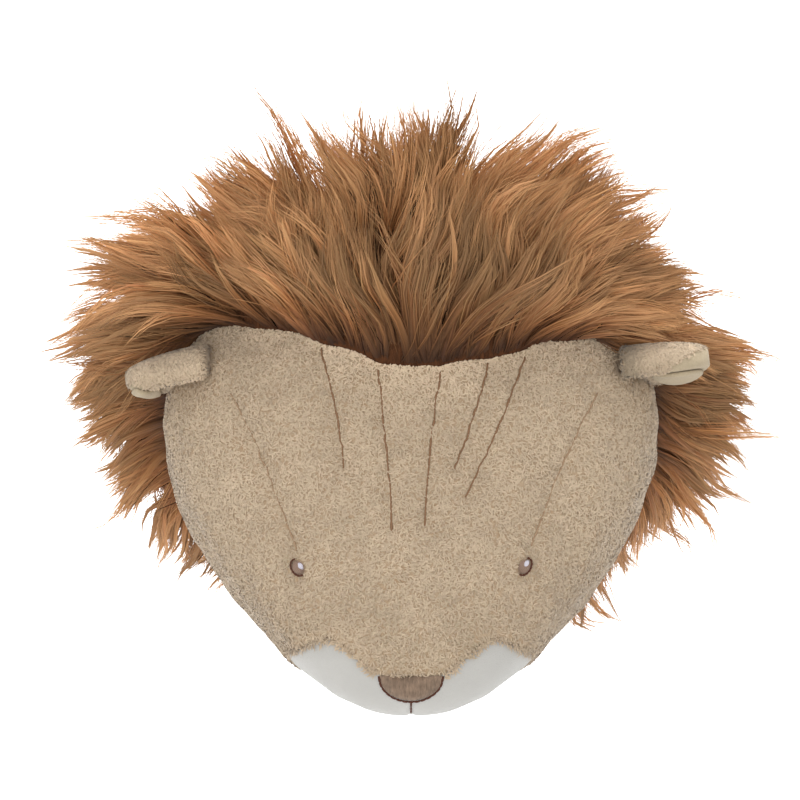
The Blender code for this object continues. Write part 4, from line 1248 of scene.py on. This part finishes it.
class LION_OT_eyes(bpy.types.Operator):
    """Embroider the eyes in satin stitch with a dark outline and a pale glint"""
    bl_idname = "lion_head.eyes"
    bl_label = "Eyes"
    # For each eye: its lean, its glint's place across and up in metres, and where its dark outline starts and
    # ends. Angles are in degrees
    shapes = {"eye_left": (44, (0.0016, 0.0008), (60, 270)), "eye_right": (-42, (0.0009, 0.0015), (-90, 120))}
    moved = {"eye_left": Vector((0.0013, 0, -0.0012)), "eye_right": Vector((-0.0008, 0, 0))}
    half_width, half_height = 0.0030, 0.0047
    half_glint_width, half_glint_height = 0.0011, 0.0023

    def execute(self, context):
        trim = sizes("trim")
        fill = thread_material("eye thread", trim.eye_thread, 0.45, sheen=0.1, ply=0.0005, contrast=0.25)
        dark = thread_material("eye outline thread", trim.dark_thread, 0.6)
        pale = thread_material("glint thread", trim.glint, 0.4, sheen=0.1, ply=0.0005, contrast=0.12)
        face = surface_of("face")
        for node, (lean, spot, outer) in self.shapes.items():
            middle = Vector(places_of(NODES[node].data).mean(0)) + self.moved[node]
            middle, normal, _, _ = face.find_nearest(middle)
            across = UP_FACE.cross(normal).normalized()
            up = normal.cross(across).normalized()
            turned = Matrix.Rotation(math.radians(lean), 3, normal)
            axes = (turned @ across, turned @ up, normal)
            wide, high = self.half_width, self.half_height
            satin = self.satin(node + "_satin", middle + normal * 0.0008, axes, wide, high, thread=0.0005)
            add_piece(satin, fill, (node,))
            ring = [middle + normal * 0.0011 + axes[0] * math.cos(a) * wide * 1.05
                    + axes[1] * math.sin(a) * high * 1.03 for a in np.radians(np.linspace(*outer, 37))]
            made = stitch_mesh(node + "_outline", [np.array(ring)], [np.tile(np.array(normal), (37, 1))],
                               stitch=0.0019, width=0.00105, gap=-0.1, fullness=0.2)
            add_piece(made, dark)
            place = middle + normal * 0.0013 + across * spot[0] + up * spot[1]
            glint = self.satin(node + "_glint", place, axes, self.half_glint_width, self.half_glint_height,
                               thread=0.0004)
            add_piece(glint, pale)
        return {"FINISHED"}

    @staticmethod
    def satin(name, middle, axes, half_width, half_height, thread):
        """Parallel threads side by side across an oval."""
        across, up, normal = (np.array(a) for a in axes)
        middle = np.array(middle)
        lines, normals = [], []
        count = max(3, round(2 * half_width / thread))
        for i in range(count):
            x = ((i + 0.5) / count * 2 - 1) * half_width
            high = half_height * math.sqrt(max(0.04, 1 - (x / half_width) ** 2))
            rise = 0.0005 * (1 - (x / half_width) ** 2)
            along = np.linspace(-1, 1, 7)
            lines.append(middle + across * x + up * (along * high)[:, None]
                         + normal * (rise * (1 - along ** 2))[:, None])
            normals.append(np.tile(normal, (7, 1)))
        # One stitch runs the whole way across, however long that is
        return stitch_mesh(name, lines, normals, stitch=1.0, width=thread * 1.25, gap=0.0)


class LION_OT_back(bpy.types.Operator):
    """Finish the back: felt on the board and a row of stitches round its rim"""
    bl_idname = "lion_head.back"
    bl_label = "Back"

    def execute(self, context):
        trim = sizes("trim")
        board = NODES["back_panel"]
        for slot in board.material_slots:
            slot.material = pile_material("backing felt", trim.felt)
        places = places_of(board.data)
        rim = places[places[:, 1] > -0.0003]
        rim = rim[np.argsort(np.arctan2(rim[:, 2], rim[:, 0]))]
        ring = np.concatenate([rim, rim[:1]]) * np.array([0.955, 1, 0.955])
        ring[:, 1] = -0.0007
        out = np.tile(np.array([0, 1.0, 0]), (len(ring), 1))
        made = stitch_mesh("back_stitching", [ring], [out], stitch=0.0075, width=0.0009, gap=0.35,
                           lift=0.0001, sides=5)
        add_piece(made, thread_material("brow thread", trim.brow_thread, 0.8))
        return {"FINISHED"}


# The stage

class LION_OT_stage(bpy.types.Operator):
    """Set the pale floor, the soft light and the camera"""
    bl_idname = "lion_head.stage"
    bl_label = "Stage"

    def execute(self, context):
        stage = sizes("stage")
        bm = bmesh.new()
        bmesh.ops.create_grid(bm, x_segments=8, y_segments=8, size=8)
        mesh = mesh_from(bm, "floor")
        floor = in_scene("floor", mesh)
        floor.location = (0, 0, -stage.floor_drop)
        mesh.materials.append(pile_material("floor", WHITE[:3]))
        world = bpy.data.worlds.new("studio")
        world.use_nodes = True
        sky = world.node_tree.nodes["Background"].inputs
        sky["Color"].default_value = WHITE
        sky["Strength"].default_value = stage.daylight
        context.scene.world = world
        self.soft_light("key", (-0.25, -1.5, 1.05), size=1.4, power=stage.key)
        self.soft_light("floor wash", (0, 1.6, 0.8), size=2.5, power=90, aim=Vector((0, 1.6, -1)))
        camera = in_scene("camera", bpy.data.cameras.new("camera"))
        # A long lens, with the small shift that the photograph's framing needs
        camera.data.lens = 120
        camera.data.sensor_width = 36
        camera.data.shift_x = -0.01375
        camera.data.shift_y = -0.044375
        away = Vector((0, -math.cos(stage.camera_height), math.sin(stage.camera_height)))
        camera.location = away * stage.camera_distance
        camera.rotation_euler = (-away).to_track_quat("-Z", "Y").to_euler()
        context.scene.camera = camera
        context.scene.view_settings.view_transform = "Standard"
        return {"FINISHED"}

    @staticmethod
    def soft_light(name, place, size, power, aim=Vector((0, -0.1, 0))):
        lamp = bpy.data.lights.new(name, "AREA")
        lamp.size = size
        lamp.energy = power
        light = in_scene(name, lamp)
        light.location = place
        light.rotation_euler = (aim - Vector(place)).to_track_quat("-Z", "Y").to_euler()


OPERATORS = (LION_OT_face, LION_OT_muzzle, LION_OT_nose, LION_OT_face_pile, LION_OT_ears, LION_OT_eyes,
             LION_OT_lines, LION_OT_mane, LION_OT_back, LION_OT_stage)
GROUPS = {"terry": TerrySizes, "mane": ManeSizes, "trim": TrimSizes, "stage": StageSizes}


class LION_PT_head(bpy.types.Panel):
    """The lion head's pieces and their sizes"""
    bl_idname = "LION_PT_head"
    bl_label = "Lion head"
    bl_space_type = "VIEW_3D"
    bl_region_type = "UI"
    bl_category = "Lion head"

    def draw(self, context):
        for name in GROUPS:
            box = self.layout.box()
            box.label(text=name.title())
            group = sizes(name)
            for key in group.bl_rna.properties.keys():
                if key not in ("rna_type", "name"):
                    box.prop(group, key)
        for operator in OPERATORS:
            self.layout.operator(operator.bl_idname)


def register():
    for cls in (*GROUPS.values(), *OPERATORS, LION_PT_head):
        bpy.utils.register_class(cls)
    for name, cls in GROUPS.items():
        setattr(bpy.types.Scene, "lion_head_" + name, PointerProperty(type=cls))


def unregister():
    for name in GROUPS:
        delattr(bpy.types.Scene, "lion_head_" + name)
    for cls in reversed((*GROUPS.values(), *OPERATORS, LION_PT_head)):
        bpy.utils.unregister_class(cls)


def main():
    register()
    bpy.ops.lion_head.face()
    bpy.ops.lion_head.muzzle()
    bpy.ops.lion_head.nose()
    bpy.ops.lion_head.face_pile()
    bpy.ops.lion_head.ears()
    bpy.ops.lion_head.eyes()
    bpy.ops.lion_head.lines()
    bpy.ops.lion_head.mane()
    bpy.ops.lion_head.back()
    bpy.ops.lion_head.stage()


if __name__ == "__main__":
    main()
